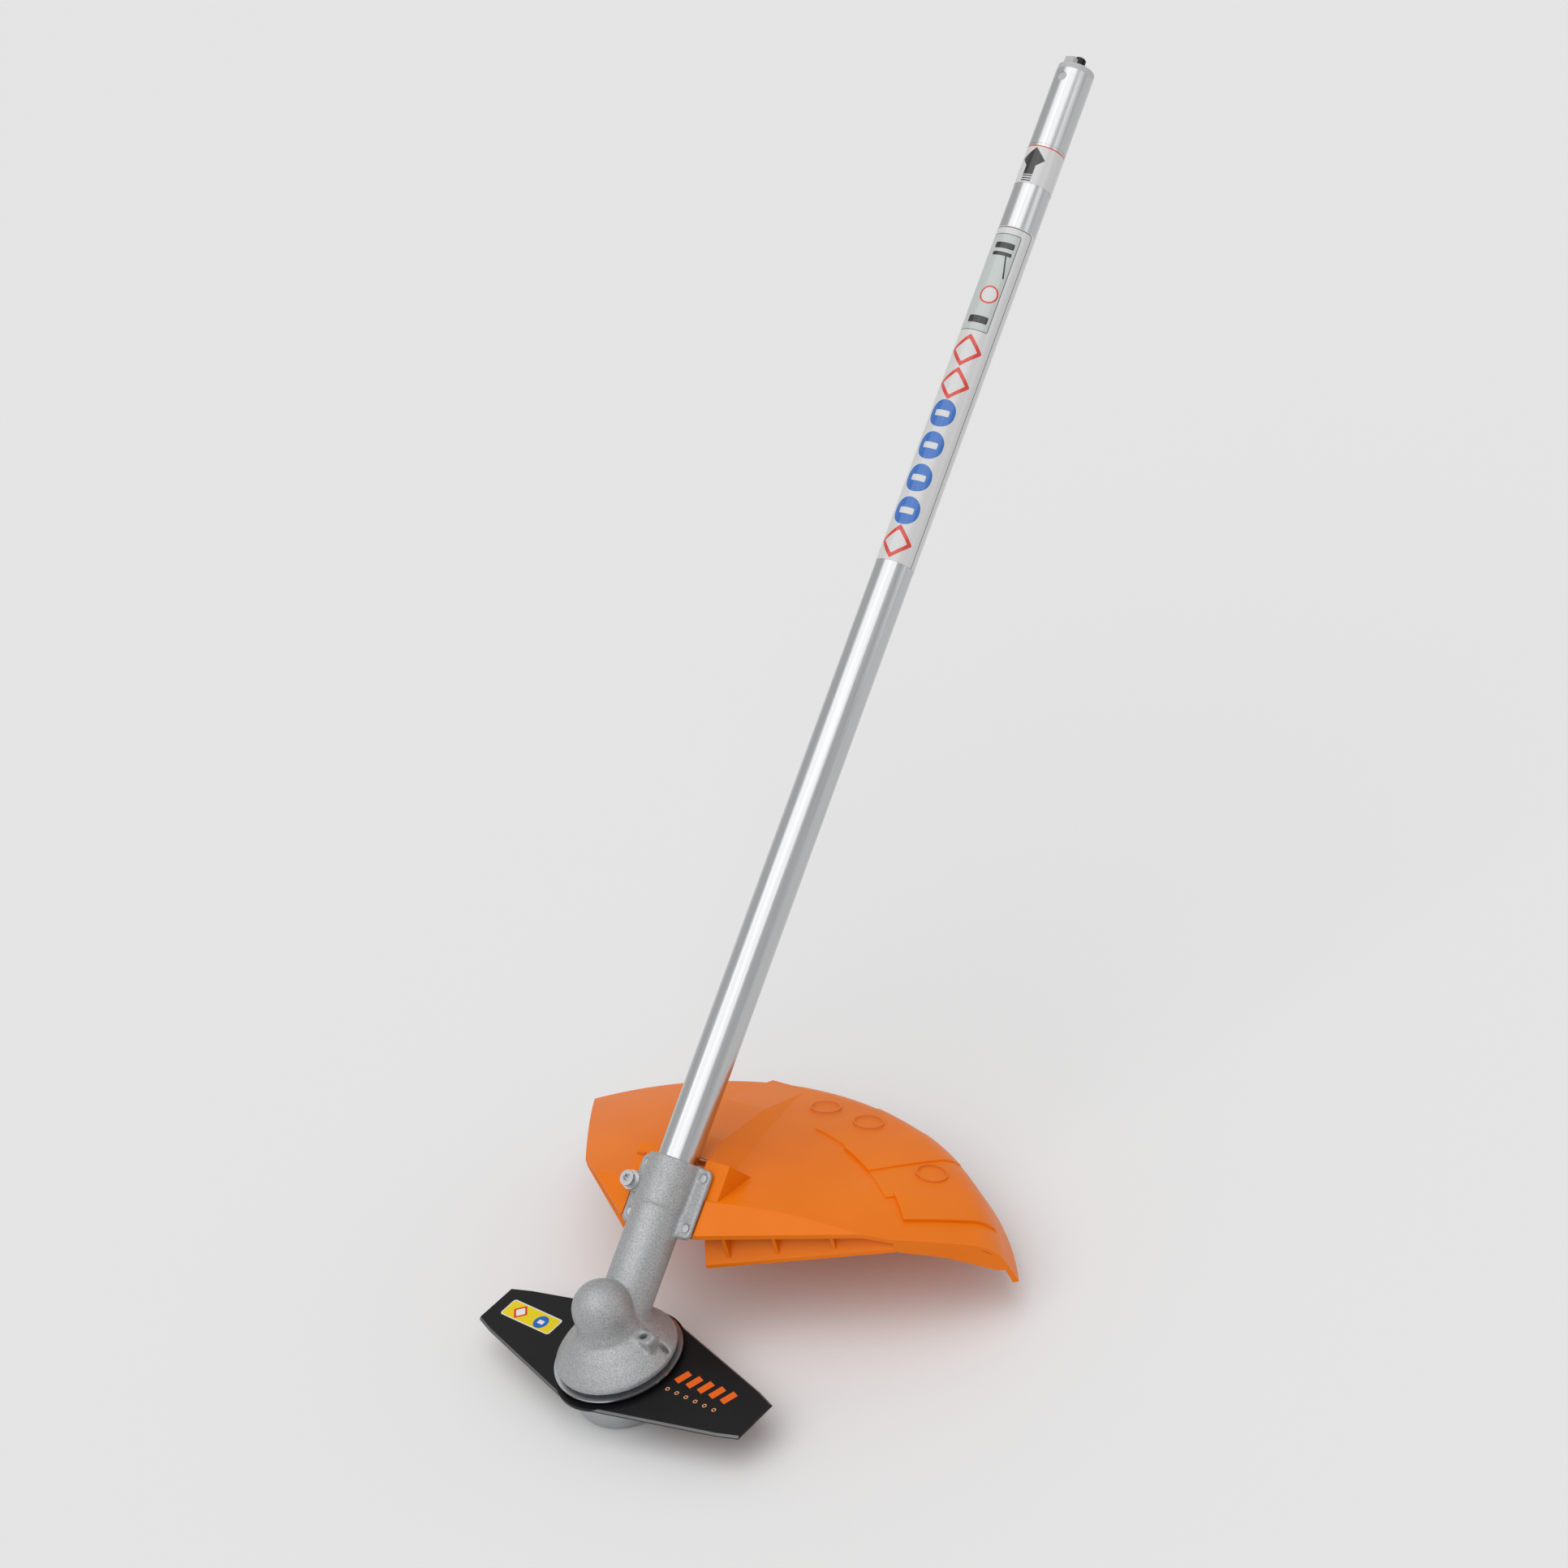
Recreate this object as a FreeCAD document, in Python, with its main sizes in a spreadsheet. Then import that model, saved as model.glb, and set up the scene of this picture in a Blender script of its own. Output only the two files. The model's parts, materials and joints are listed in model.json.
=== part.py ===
import FreeCAD, Part
import math
import os
import re
import Sketcher

# Brush cutter working head on its drive tube: a tilted tube carries a drive shaft to a small
# bevel gearbox, which turns a two-tooth grass blade behind a moulded guard.
#
# The origin is the centre of the tube's coupling end, where the power head clamps on. The blade is
# level, +Z is the arbor's axis and the tube rises towards +X. Two local frames are used:
#   tube frame   Z runs up the tube from the point where it crosses the arbor, X points to its underside
#   arbor frame  Z runs up the arbor from the top face of the blade
# A "station" is a height in the tube frame, a "level" is a height in the arbor frame.

V = FreeCAD.Vector
os.makedirs("parts", exist_ok=True)
doc = FreeCAD.newDocument("brush_cutter")

SIZES = [
    ("tube_reach", 873, "arbor crossing to the tube's coupling end"),
    ("tube_tilt", 35, "tube above the blade plane, degrees"),
    ("tube_radius", 12.7, "drive tube, outside"),
    ("tube_wall", 1.5, "drive tube wall"),
    ("seat_gap", 0.02, "clearance of a fixed or press fit, radial"),
    ("run_gap", 0.06, "clearance of a running fit, radial"),
    ("shaft_radius", 4, "drive shaft"),
    ("shaft_neck_radius", 3, "drive shaft's lower end, inside the pinion"),
    ("shaft_neck_length", 11, "depth of that end in the pinion"),
    ("shaft_stub", 13, "drive shaft beyond the tube's end"),
    ("spline_length", 16, "splined upper end of the drive shaft"),
    ("spline_depth", 0.8, "depth of a spline groove"),
    ("spline_width", 1.3, "width of a spline groove"),
    ("bush_length", 16, "shaft bush in the tube"),
    ("end_bush_depth", 22, "end bush inside the tube"),
    ("end_rim", 4, "rim of the end bush beyond the tube"),
    ("end_bore_radius", 5.4, "bore of the end bush"),
    ("lug_length", 4.5, "lug on the end bush"),
    ("lug_width", 7, "lug on the end bush"),
    ("pin_radius", 3.2, "pin that holds the end bush in the tube"),
    ("pin_sink", 0.45, "its face below the crown of the tube"),
    ("pin_length", 4, "that pin"),
    ("pin_inset", 7, "its centre from the tube's end"),
    ("insertion_depth", 57, "length of tube that the power head's clamp takes"),
    ("mark_width", 1, "scribed ring at that depth"),
    ("mark_depth", 0.2, "scribed ring"),
    ("label_skin", 0.2, "thickness of a label"),
    ("label_wrap", 230, "angle a label wraps round the tube, degrees"),
    ("main_label_start", 516, "station"),
    ("main_label_end", 755, "station"),
    ("arrow_label_start", 787, "station"),
    ("label_margin", 1, "arrow label's upper edge below the scribed ring"),
    ("blade_drop", 18, "blade top face below the arbor crossing"),
    ("blade_radius", 115, "blade, to its corners"),
    ("blade_thickness", 2, "blade"),
    ("blade_bore_radius", 12.7, "blade"),
    ("blade_tip_half", 15.4, "half width at the tips"),
    ("blade_shoulder_at", 100, "shoulder of a tip from the centre"),
    ("blade_shoulder_half", 20, "half width at the shoulder"),
    ("blade_waist_at", 14, "start of the rounded middle"),
    ("blade_waist_half", 41, "half width there"),
    ("blade_middle_half", 44, "half width at the centre"),
    ("blade_bevel", 1.2, "sharpened bevel"),
    ("arbor_radius", 6, "arbor through the lower bearing and the thread"),
    ("arbor_top_radius", 5, "arbor in the upper bearing"),
    ("arbor_collar_radius", "=arbor_radius + 1", "collar between lower bearing and gear"),
    ("arbor_end", -18, "level of the arbor's threaded end"),
    ("thrust_radius", 38.5, "thrust plate"),
    ("thrust_height", 2.8, "thrust plate rim"),
    ("thrust_hub_radius", 8, "thrust plate hub, under the bearing"),
    ("ring_radius", 40.8, "wrap guard ring"),
    ("ring_sheet", 1, "wrap guard ring thickness"),
    ("ring_level", 3.4, "underside of the ring's outer band"),
    ("flange_level", 6.4, "underside of the gearbox"),
    ("flange_radius", 38.5, "gearbox skirt"),
    ("flange_rim", 3.2, "height of the skirt's upright rim"),
    ("skirt_top", 25, "level where the skirt meets the dome"),
    ("dome_radius", 18.5, "dome over the upper bearing"),
    ("dome_level", 41.5, "centre of the dome"),
    ("lower_bearing_level", 9.4, "underside of the lower bearing"),
    ("upper_bearing_level", 42.4, "underside of the upper bearing"),
    ("lower_bearing_outer", 14, "radius"),
    ("lower_bearing_width", 8, "width"),
    ("upper_bearing_outer", 13, "radius"),
    ("upper_bearing_width", 8, "width"),
    ("pinion_bearing_outer", 11, "radius"),
    ("pinion_bearing_width", 6, "width"),
    ("pinion_shaft_radius", 5, "pinion shaft"),
    ("circlip_sheet", 1.2, "thickness of a circlip"),
    ("circlip_depth", 0.6, "depth of a circlip groove"),
    ("gear_module", 1.2, "at the large end of the teeth"),
    ("gear_face", 7, "length of a tooth"),
    ("backlash", 0.12, "taken off each flank"),
    ("pinion_back", "=gear_module * (10.5 + 7.5 * sin(tube_tilt)) / cos(tube_tilt) + 1.6",
     "station of the pinion's back face, from the two pitch circles and the tilt"),
    ("pinion_bearing_front", "=pinion_back + 1.72", "station of the front pinion bearing"),
    ("pinion_bearing_rear", "=pinion_bearing_front + 16.4", "station of the rear pinion bearing"),
    ("tube_seat", "=pinion_bearing_rear + pinion_bearing_width + 3.1",
     "station of the tube's lower end in the gearbox"),
    ("pinion_shaft_end", "=tube_seat + 9.5", "station"),
    ("socket_radius", 16.5, "gearbox neck"),
    ("neck_start", 8, "station where the neck leaves the dome"),
    ("band_radius", 17.5, "clamp band at the mouth of the neck"),
    ("band_start", 84, "station"),
    ("socket_mouth", 114, "station of the neck's mouth"),
    ("wing_start", 69, "station of the lower edge of the guard flange"),
    ("wing_top", 1, "guard flange below the tube's axis"),
    ("wing_thickness", 4, "guard flange"),
    ("wing_half", 28, "half width of the guard flange"),
    ("wing_corner", 5, "corner radius"),
    ("guard_screw_low", 76, "station of the lower pair"),
    ("guard_screw_high", 108, "station of the upper pair"),
    ("guard_screw_side", 22.5, "from the tube's axis"),
    ("guard_screw_radius", 2.5, "hole and thread"),
    ("guard_screw_head", 4.6, "radius"),
    ("guard_screw_head_height", 3.4, "height"),
    ("clamp_station", 94, "clamp screw"),
    ("clamp_side", 24, "clamp screw from the tube's axis"),
    ("clamp_boss_radius", 6.5, "boss under the clamp screw"),
    ("clamp_seat", 5.5, "top of that boss above the tube's axis"),
    ("clamp_slit", 1.6, "gap that the screw closes"),
    ("clamp_washer_radius", 6.2, "washer"),
    ("clamp_washer_sheet", 1.2, "washer"),
    ("clamp_head_radius", 5, "screw head"),
    ("clamp_head_height", 4.5, "screw head"),
    ("clamp_screw_radius", 3, "screw"),
    ("clamp_drive_radius", 2.4, "recess in the screw head"),
    ("pin_hole_x", 3, "locking pin hole from the arbor"),
    ("pin_hole_y", -25, "locking pin hole from the arbor"),
    ("pin_hole_radius", 2.5, "locking pin hole"),
    ("pin_boss_half", 5.2, "half width of the boss around the hole"),
    ("pin_boss_edge", 8, "outer face of the boss from the hole"),
    ("pin_boss_level", 26, "top of the boss"),
    ("pin_slot_width", 3.2, "slot beside the boss"),
    ("pin_slot_length", 6, "slot beside the boss"),
    ("pin_circle_holes", 8, "holes in the thrust plate"),
    ("rider_rim_radius", 38.5, "rider plate, at its rim"),
    ("rider_floor_radius", 33.5, "rider plate, at its floor"),
    ("rider_level", -26.5, "underside of the rider plate"),
    ("rider_sheet", 2, "rider plate thickness"),
    ("washer_radius", 22, "thrust washer"),
    ("washer_sheet", 2, "thrust washer"),
    ("nut_flats", 19, "blade nut across flats"),
    ("nut_height", 8, "blade nut"),
    ("nut_collar_radius", 12, "collar of the blade nut"),
    ("guard_radius", 248, "guard, outside of the skirt's hem"),
    ("guard_wall", 2.5, "guard"),
    ("guard_right_end", -51.5, "azimuth, degrees"),
    ("guard_left_end", 42, "azimuth, degrees"),
    ("guard_hem", -4, "level of the skirt's hem"),
    ("guard_pad", 4, "thickness of the guard under the flange"),
    ("guard_right_foot", 181, "right end, where it meets the front edge, from the arbor"),
    ("guard_left_foot", 120, "left end, where it meets the front edge, from the arbor"),
    ("guard_front", 62, "front edge of the guard from the arbor"),
    ("guard_mount_half", 36, "half width of the guard's mount"),
    ("guard_lip", 31, "half width of the guard's straight front edge"),
]

sheet = doc.addObject("Spreadsheet::Sheet", "sizes")
for row, (alias, size, note) in enumerate(SIZES, start=1):
    sheet.set("A%d" % row, alias)
    sheet.set("B%d" % row, str(size))
    sheet.set("C%d" % row, note)
    sheet.setAlias("B%d" % row, alias)
doc.recompute()
ALIASES = re.compile(r"\b(%s)\b" % "|".join(alias for alias, size, note in SIZES))


def bound(text):
    """A size written with the sheet's names, as an expression that other objects can hold."""
    return ALIASES.sub(r"sizes.\1", str(text))


def size(text):
    """The number that such an expression has now."""
    return float(sheet.evalExpression(str(text)))


# The inclined centre line and the bevel pair, worked out once from the sheet.
PINION_TEETH = 15
GEAR_TEETH = 21
PRESSURE_ANGLE = math.radians(20)
SHAFT_ANGLE = math.radians(90 - size("tube_tilt"))
PINION_CONE = math.atan2(math.sin(SHAFT_ANGLE), GEAR_TEETH / PINION_TEETH + math.cos(SHAFT_ANGLE))
GEAR_CONE = SHAFT_ANGLE - PINION_CONE
CONE_LENGTH = size("gear_module") * GEAR_TEETH / 2 / math.sin(GEAR_CONE)

CROSS_X = "-tube_reach * cos(tube_tilt)"
CROSS_Z = "-tube_reach * sin(tube_tilt)"
FRAMES = {
    "tube": (CROSS_X, "0", CROSS_Z),
    "arbor": (CROSS_X, "0", CROSS_Z + " - blade_drop"),
    "gear": (CROSS_X, "0", CROSS_Z),
}
NODES = []


def node(item, label):
    """Name a finished sub-part, which is also its file name."""
    item.Label = label
    NODES.append(item)
    return item


def seat(item, frame, turn=0):
    """Bind an object's place to the frame it is built in."""
    tilted = frame == "tube"
    lean = FreeCAD.Rotation(V(0, 1, 0), 90 - size("tube_tilt")) if tilted else FreeCAD.Rotation()
    x, y, z = FRAMES[frame]
    turned_by = lean * FreeCAD.Rotation(V(0, 0, 1), turn)
    item.Placement = FreeCAD.Placement(V(size(x), size(y), size(z)), turned_by)
    item.setExpression("Placement.Base.x", bound(x))
    item.setExpression("Placement.Base.z", bound(z))
    if tilted and not turn:
        item.setExpression("Placement.Rotation.Angle", bound("90 - tube_tilt"))
    return item


def frame_matrix(frame, offset=(0, 0, 0)):
    """The same place as a Placement, for shapes that are set directly."""
    lean = FreeCAD.Rotation(V(0, 1, 0), 90 - size("tube_tilt")) if frame == "tube" else FreeCAD.Rotation()
    base = V(*[size(text) for text in FRAMES[frame]])
    return FreeCAD.Placement(base + lean.multVec(V(*offset)), lean)


def new_body(name, frame, turn=0):
    return seat(doc.addObject("PartDesign::Body", name), frame, turn)


def plane_of(body, role):
    return [item for item in body.Origin.OriginFeatures if item.Role == role][0]


def new_sketch(body, name, role, offset=None):
    sketch = body.newObject("Sketcher::SketchObject", name)
    sketch.AttachmentSupport = [(plane_of(body, role), "")]
    sketch.MapMode = "FlatFace"
    if offset:
        sketch.setExpression("AttachmentOffset.Base.z", bound(offset))
    return sketch


def pin_point(sketch, edge, end, x, y):
    """Hold one end of an edge at expressions measured from the sketch's origin."""
    for kind, text in (("DistanceX", x), ("DistanceY", y)):
        index = sketch.addConstraint(Sketcher.Constraint(kind, -1, 1, edge, end, size(text)))
        sketch.setExpression("Constraints[%d]" % index, bound(text))


def polygon(sketch, corners, arcs=None):
    """A closed outline whose corners are pairs of expressions.

    arcs maps the number of an edge to (x, y, radius): a point on that edge's arc, and its radius."""
    arcs = arcs or {}
    places = [V(size(x), size(y), 0) for x, y in corners]
    first = sketch.GeometryCount
    count = len(places)
    ends = []
    for index, here in enumerate(places):
        there = places[(index + 1) % count]
        if index not in arcs:
            sketch.addGeometry(Part.LineSegment(here, there), False)
            ends.append((1, 2))
            continue
        middle = V(size(arcs[index][0]), size(arcs[index][1]), 0)
        sketch.addGeometry(Part.Arc(here, middle, there), False)
        clockwise = (middle - here).cross(there - middle).z < 0
        ends.append((2, 1) if clockwise else (1, 2))
    for index, (x, y) in enumerate(corners):
        ahead = (index + 1) % count
        sketch.addConstraint(Sketcher.Constraint(
            "Coincident", first + index, ends[index][1], first + ahead, ends[ahead][0]))
        pin_point(sketch, first + index, ends[index][0], x, y)
    for index, (x, y, radius) in arcs.items():
        limit = sketch.addConstraint(Sketcher.Constraint("Radius", first + index, size(radius)))
        sketch.setExpression("Constraints[%d]" % limit, bound(radius))
    return sketch


def ring_sketch(sketch, x, y, radius):
    """A circle held at a place and a radius."""
    index = sketch.addGeometry(Part.Circle(V(size(x), size(y), 0), V(0, 0, 1), size(radius)), False)
    pin_point(sketch, index, 3, x, y)
    limit = sketch.addConstraint(Sketcher.Constraint("Radius", index, size(radius)))
    sketch.setExpression("Constraints[%d]" % limit, bound(radius))
    return sketch


def turned(name, frame, corners, arcs=None):
    """A body made by turning an outline of (radius, height) corners about the frame's Z axis."""
    body = new_body(name, frame)
    sketch = polygon(new_sketch(body, name + "_outline", "XZ_Plane"), corners, arcs)
    spin = body.newObject("PartDesign::Revolution", name + "_turned")
    spin.Profile = sketch
    spin.ReferenceAxis = (sketch, ["V_Axis"])
    spin.Angle = 360
    doc.recompute()
    return body


def sleeve(name, frame, inner, outer, low, high):
    """A plain tube or ring between two radii and two heights."""
    return turned(name, frame, [(inner, low), (outer, low), (outer, high), (inner, high)])


def pocket(body, name, sketch, length, reverse=False, both=False):
    """Cut a sketch into a body and make sure that it took material away."""
    before = body.Shape.Volume
    cut = body.newObject("PartDesign::Pocket", name)
    cut.Profile = sketch
    cut.Length = size(length)
    cut.setExpression("Length", bound(length))
    cut.Midplane = both
    cut.Reversed = reverse
    doc.recompute()
    if body.Shape.Volume > before - 0.01:
        raise RuntimeError("the pocket %s cuts nothing" % name)
    return cut


def around(body, feature, name, count, axis="Z_Axis"):
    """Repeat a feature round the body's axis."""
    ring = body.newObject("PartDesign::PolarPattern", name)
    ring.Originals = [feature]
    ring.Axis = (plane_of(body, axis), [""])
    ring.Angle = 360
    ring.Occurrences = count
    body.Tip = ring
    doc.recompute()
    return ring


def edge_names(shape, test):
    return ["Edge%d" % (i + 1) for i, edge in enumerate(shape.Edges) if test(edge)]


def rounded(body, name, radius, test):
    """Fillet the edges of the body's last feature that pass a test."""
    tip = body.Tip
    fillet = body.newObject("PartDesign::Fillet", name)
    fillet.Base = (tip, edge_names(tip.Shape, test))
    fillet.Radius = size(radius)
    fillet.setExpression("Radius", bound(radius))
    doc.recompute()
    return fillet


def circle_at(radius, height):
    """A test for the circular edges at one radius and height in the body's own frame."""
    def test(edge):
        curve = edge.Curve
        round_edge = isinstance(curve, Part.Circle) and abs(curve.Radius - size(radius)) < 1e-4
        return round_edge and abs(curve.Center.z - size(height)) < 1e-4
    return test


def cylinder(name, radius, length, frame, offset=("0", "0", "0"), axis="Z"):
    """A Part cylinder in a frame; axis X or Z, offset in the frame's own directions."""
    item = doc.addObject("Part::Cylinder", name)
    item.setExpression("Radius", bound(radius))
    item.setExpression("Height", bound(length))
    local = FreeCAD.Placement(V(*[size(text) for text in offset]), FreeCAD.Rotation())
    if axis == "X":
        local.Rotation = FreeCAD.Rotation(V(0, 1, 0), 90)
    item.Placement = frame_matrix(frame).multiply(local)
    doc.recompute()
    return item


def block(name, sizes, frame, offset):
    """A Part box in a frame: sizes and offset are expressions along the frame's X, Y and Z."""
    item = doc.addObject("Part::Box", name)
    for prop, text in zip(("Length", "Width", "Height"), sizes):
        item.setExpression(prop, bound(text))
    local = FreeCAD.Placement(V(*[size(text) for text in offset]), FreeCAD.Rotation())
    item.Placement = frame_matrix(frame).multiply(local)
    doc.recompute()
    return item


def cut(name, base, *tools):
    """Take several objects away from one."""
    for index, tool in enumerate(tools):
        step = doc.addObject("Part::Cut", "%s_%d" % (name, index))
        step.Base = base
        step.Tool = tool
        base = step
    doc.recompute()
    return base


def fused(name, *items):
    joined = doc.addObject("Part::MultiFuse", name)
    joined.Shapes = list(items)
    doc.recompute()
    return joined


def direct(label, shape, placement=None):
    """A sub-part whose shape is computed; its sizes still come from the sheet."""
    item = doc.addObject("Part::Feature", label + "_solid")
    item.Shape = shape
    if placement:
        item.Placement = placement
    return node(item, label)


# ---------------------------------------------------------------- drive tube and shaft

def pin_hole(body, name):
    """Cut the radial hole for the end bush's pin, through the tube's upper side."""
    sketch = new_sketch(body, name, "YZ_Plane")
    return ring_sketch(sketch, "0", "tube_reach - pin_inset", "pin_radius + seat_gap")


def make_tube():
    inner = "tube_radius - tube_wall"
    mark = "tube_reach - insertion_depth"
    body = turned("tube", "tube", [
        (inner, "tube_seat"), ("tube_radius", "tube_seat"), ("tube_radius", mark + " - mark_width / 2"),
        ("tube_radius - mark_depth", mark + " - mark_width / 2"),
        ("tube_radius - mark_depth", mark + " + mark_width / 2"), ("tube_radius", mark + " + mark_width / 2"),
        ("tube_radius", "tube_reach"), (inner, "tube_reach")])
    pocket(body, "pin_hole_cut", pin_hole(body, "pin_hole"), "tube_radius + 1")
    node(body, "drive_tube")


def make_end_bush():
    rim_top = "tube_reach + end_rim"
    rim_radius = "tube_radius - 0.3"
    inside = "tube_radius - tube_wall - seat_gap"
    body = turned("end_bush", "tube", [
        ("end_bore_radius", "tube_reach - end_bush_depth"), (inside, "tube_reach - end_bush_depth"),
        (inside, "tube_reach"), (rim_radius, "tube_reach"), (rim_radius, rim_top),
        ("end_bore_radius", rim_top)])
    lug = polygon(new_sketch(body, "lug_outline", "XY_Plane", rim_top + " - 0.5"), [
        ("-tube_radius + 1.1", "-lug_width / 2"), ("-end_bore_radius - 1.6", "-lug_width / 2"),
        ("-end_bore_radius - 1.6", "lug_width / 2"), ("-tube_radius + 1.1", "lug_width / 2")])
    pad = body.newObject("PartDesign::Pad", "lug_pad")
    pad.Profile = lug
    pad.setExpression("Length", bound("lug_length + 0.5"))
    doc.recompute()
    pocket(body, "bush_pin_hole_cut", pin_hole(body, "bush_pin_hole"), "tube_radius + 1")
    node(body, "coupling_end_bush")

    pin = new_body("bush_pin", "tube")
    disc = ring_sketch(new_sketch(pin, "pin_disc", "YZ_Plane", "-tube_radius + pin_sink"), "0",
                       "tube_reach - pin_inset", "pin_radius")
    pad = pin.newObject("PartDesign::Pad", "pin_pad")
    pad.Profile = disc
    pad.setExpression("Length", bound("pin_length"))
    doc.recompute()
    node(pin, "end_bush_pin")


def make_drive_shaft():
    neck_low = "pinion_shaft_end - shaft_neck_length"
    top = "tube_reach + shaft_stub"
    body = turned("shaft", "tube", [
        ("0", neck_low), ("shaft_neck_radius", neck_low), ("shaft_neck_radius", "pinion_shaft_end + 0.2"),
        ("shaft_radius", "pinion_shaft_end + 0.2"), ("shaft_radius", top + " - 0.8"),
        ("shaft_radius - 0.8", top), ("0", top)])
    groove = polygon(new_sketch(body, "spline_outline", "XY_Plane", top), [
        ("shaft_radius - spline_depth", "-spline_width / 2"), ("shaft_radius + 1", "-spline_width / 2"),
        ("shaft_radius + 1", "spline_width / 2"), ("shaft_radius - spline_depth", "spline_width / 2")])
    groove_cut = pocket(body, "spline_groove", groove, "spline_length")
    around(body, groove_cut, "spline_ring", 10)
    node(body, "drive_shaft")


def make_shaft_bushes():
    count = 4
    for index in range(count):
        middle = "tube_seat + (tube_reach - tube_seat) * %d / %d" % (2 * index + 1, 2 * count)
        bush = turned("shaft_bush_%d" % (index + 1), "tube", [
            ("shaft_radius + run_gap", middle + " - bush_length / 2"),
            ("tube_radius - tube_wall - seat_gap", middle + " - bush_length / 2"),
            ("tube_radius - tube_wall - seat_gap", middle + " + bush_length / 2"),
            ("shaft_radius + run_gap", middle + " + bush_length / 2")])
        node(bush, "shaft_bush_%d" % (index + 1))


def make_label(label, start, end):
    """A printed film round the upper side of the tube."""
    skin = cylinder(label + "_skin", "tube_radius + label_skin", "%s - %s" % (end, start), "tube",
                    ("0", "0", start))
    skin.setExpression("Angle", bound("label_wrap"))
    first = 204 - size("label_wrap") / 2
    turn = FreeCAD.Placement(V(0, 0, 0), FreeCAD.Rotation(V(0, 0, 1), first))
    skin.Placement = skin.Placement.multiply(turn)
    core = cylinder(label + "_core", "tube_radius", "tube_reach", "tube")
    node(cut(label, skin, core), label)


# ---------------------------------------------------------------- bearings and bevel pair

def make_bearing(prefix, frame, bore, outer, width, level, balls):
    """Outer ring, inner ring, and a cage full of balls between them, each its own node."""
    pitch = "(%s + %s) / 2" % (bore, outer)
    ball = (size(outer) - size(bore)) * 0.29
    middle = "%s + %s / 2" % (level, width)
    top = "%s + %s" % (level, width)
    track = "(%.4f + run_gap)" % ball
    land = ball * 0.55
    mouth = "sqrt(%s * %s - %.5f)" % (track, track, land * land)
    fit = "seat_gap / 2"
    for side, base, face, floor in (
            ("inner_ring", bore + " + " + fit, pitch + " - %.4f" % land, pitch + " - " + track),
            ("outer_ring", outer + " - " + fit, pitch + " + %.4f" % land, pitch + " + " + track)):
        ring = turned(prefix + "_" + side + "_turned", frame, [
            (base, level), (face, level), (face, middle + " - " + mouth), (face, middle + " + " + mouth),
            (face, top), (base, top)], {2: (floor, middle, track)})
        node(ring, prefix + "_" + side)
    shapes = []
    cage = Part.makeCylinder(size(pitch) + 0.5, ball * 1.5, V(0, 0, -ball * 0.75))
    cage = cage.cut(Part.makeCylinder(size(pitch) - 0.5, ball * 1.5, V(0, 0, -ball * 0.75)))
    for index in range(balls):
        angle = 2 * math.pi * index / balls
        centre = V(size(pitch) * math.cos(angle), size(pitch) * math.sin(angle), 0)
        cage = cage.cut(Part.makeSphere(ball + 0.04, centre))
        shapes.append(Part.makeSphere(ball, centre))
    direct(prefix + "_balls", Part.makeCompound(shapes + [cage]), frame_matrix(frame, (0, 0, size(middle))))


def tooth_section(teeth, cone, reach):
    """One tooth's outline at a cone distance: an involute on the back cone."""
    scale = reach / CONE_LENGTH
    module = size("gear_module") * scale
    virtual = teeth / math.cos(cone)
    pitch_radius = module * virtual / 2
    base_radius = pitch_radius * math.cos(PRESSURE_ANGLE)
    tip_radius = pitch_radius + 0.9 * module
    root_radius = pitch_radius - 1.15 * module
    along = V(math.sin(cone), 0, math.cos(cone))
    out = V(math.cos(cone), 0, -math.sin(cone))
    half_pitch = math.pi / (2 * virtual) + math.tan(PRESSURE_ANGLE) - PRESSURE_ANGLE
    flank = []
    for step in range(5):
        radius = max(base_radius, root_radius) + (tip_radius - max(base_radius, root_radius)) * step / 4
        angle = math.acos(min(1, base_radius / radius))
        half = half_pitch - (math.tan(angle) - angle) - size("backlash") * scale / pitch_radius
        flank.append((radius * math.cos(half) - pitch_radius, radius * math.sin(half)))
    foot = flank[0][1]
    flank.insert(0, (root_radius - 0.5 * module - pitch_radius, foot))
    places = [along * reach + out * rise + V(0, half, 0) for rise, half in flank]
    places += [along * reach + out * rise - V(0, half, 0) for rise, half in reversed(flank)]
    return Part.makePolygon(places + places[:1])


def bevel_wheel(teeth, cone, hub):
    """A straight bevel wheel with its apex at the origin, opening along +Z.

    The hub is a list of (radius, height) corners from the back of the teeth to the bore and round to
    the front of the teeth."""
    heel = CONE_LENGTH
    toe = CONE_LENGTH - size("gear_face")
    root = []
    for reach in (toe, heel):
        drop = 1.15 * size("gear_module") * reach / CONE_LENGTH
        radius = reach * math.sin(cone) - drop * math.cos(cone)
        root.append((radius, reach * math.cos(cone) + drop * math.sin(cone)))
    outline = [V(r, 0, z) for r, z in root + hub]
    blank = Part.Face(Part.makePolygon(outline + outline[:1])).revolve(V(0, 0, 0), V(0, 0, 1), 360)
    tooth = Part.makeLoft([tooth_section(teeth, cone, toe), tooth_section(teeth, cone, heel)], True, True)
    ring = []
    for index in range(teeth):
        copy = tooth.copy()
        copy.rotate(V(0, 0, 0), V(0, 0, 1), 360 * index / teeth)
        ring.append(copy)
    return blank.fuse(ring).removeSplitter()


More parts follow.
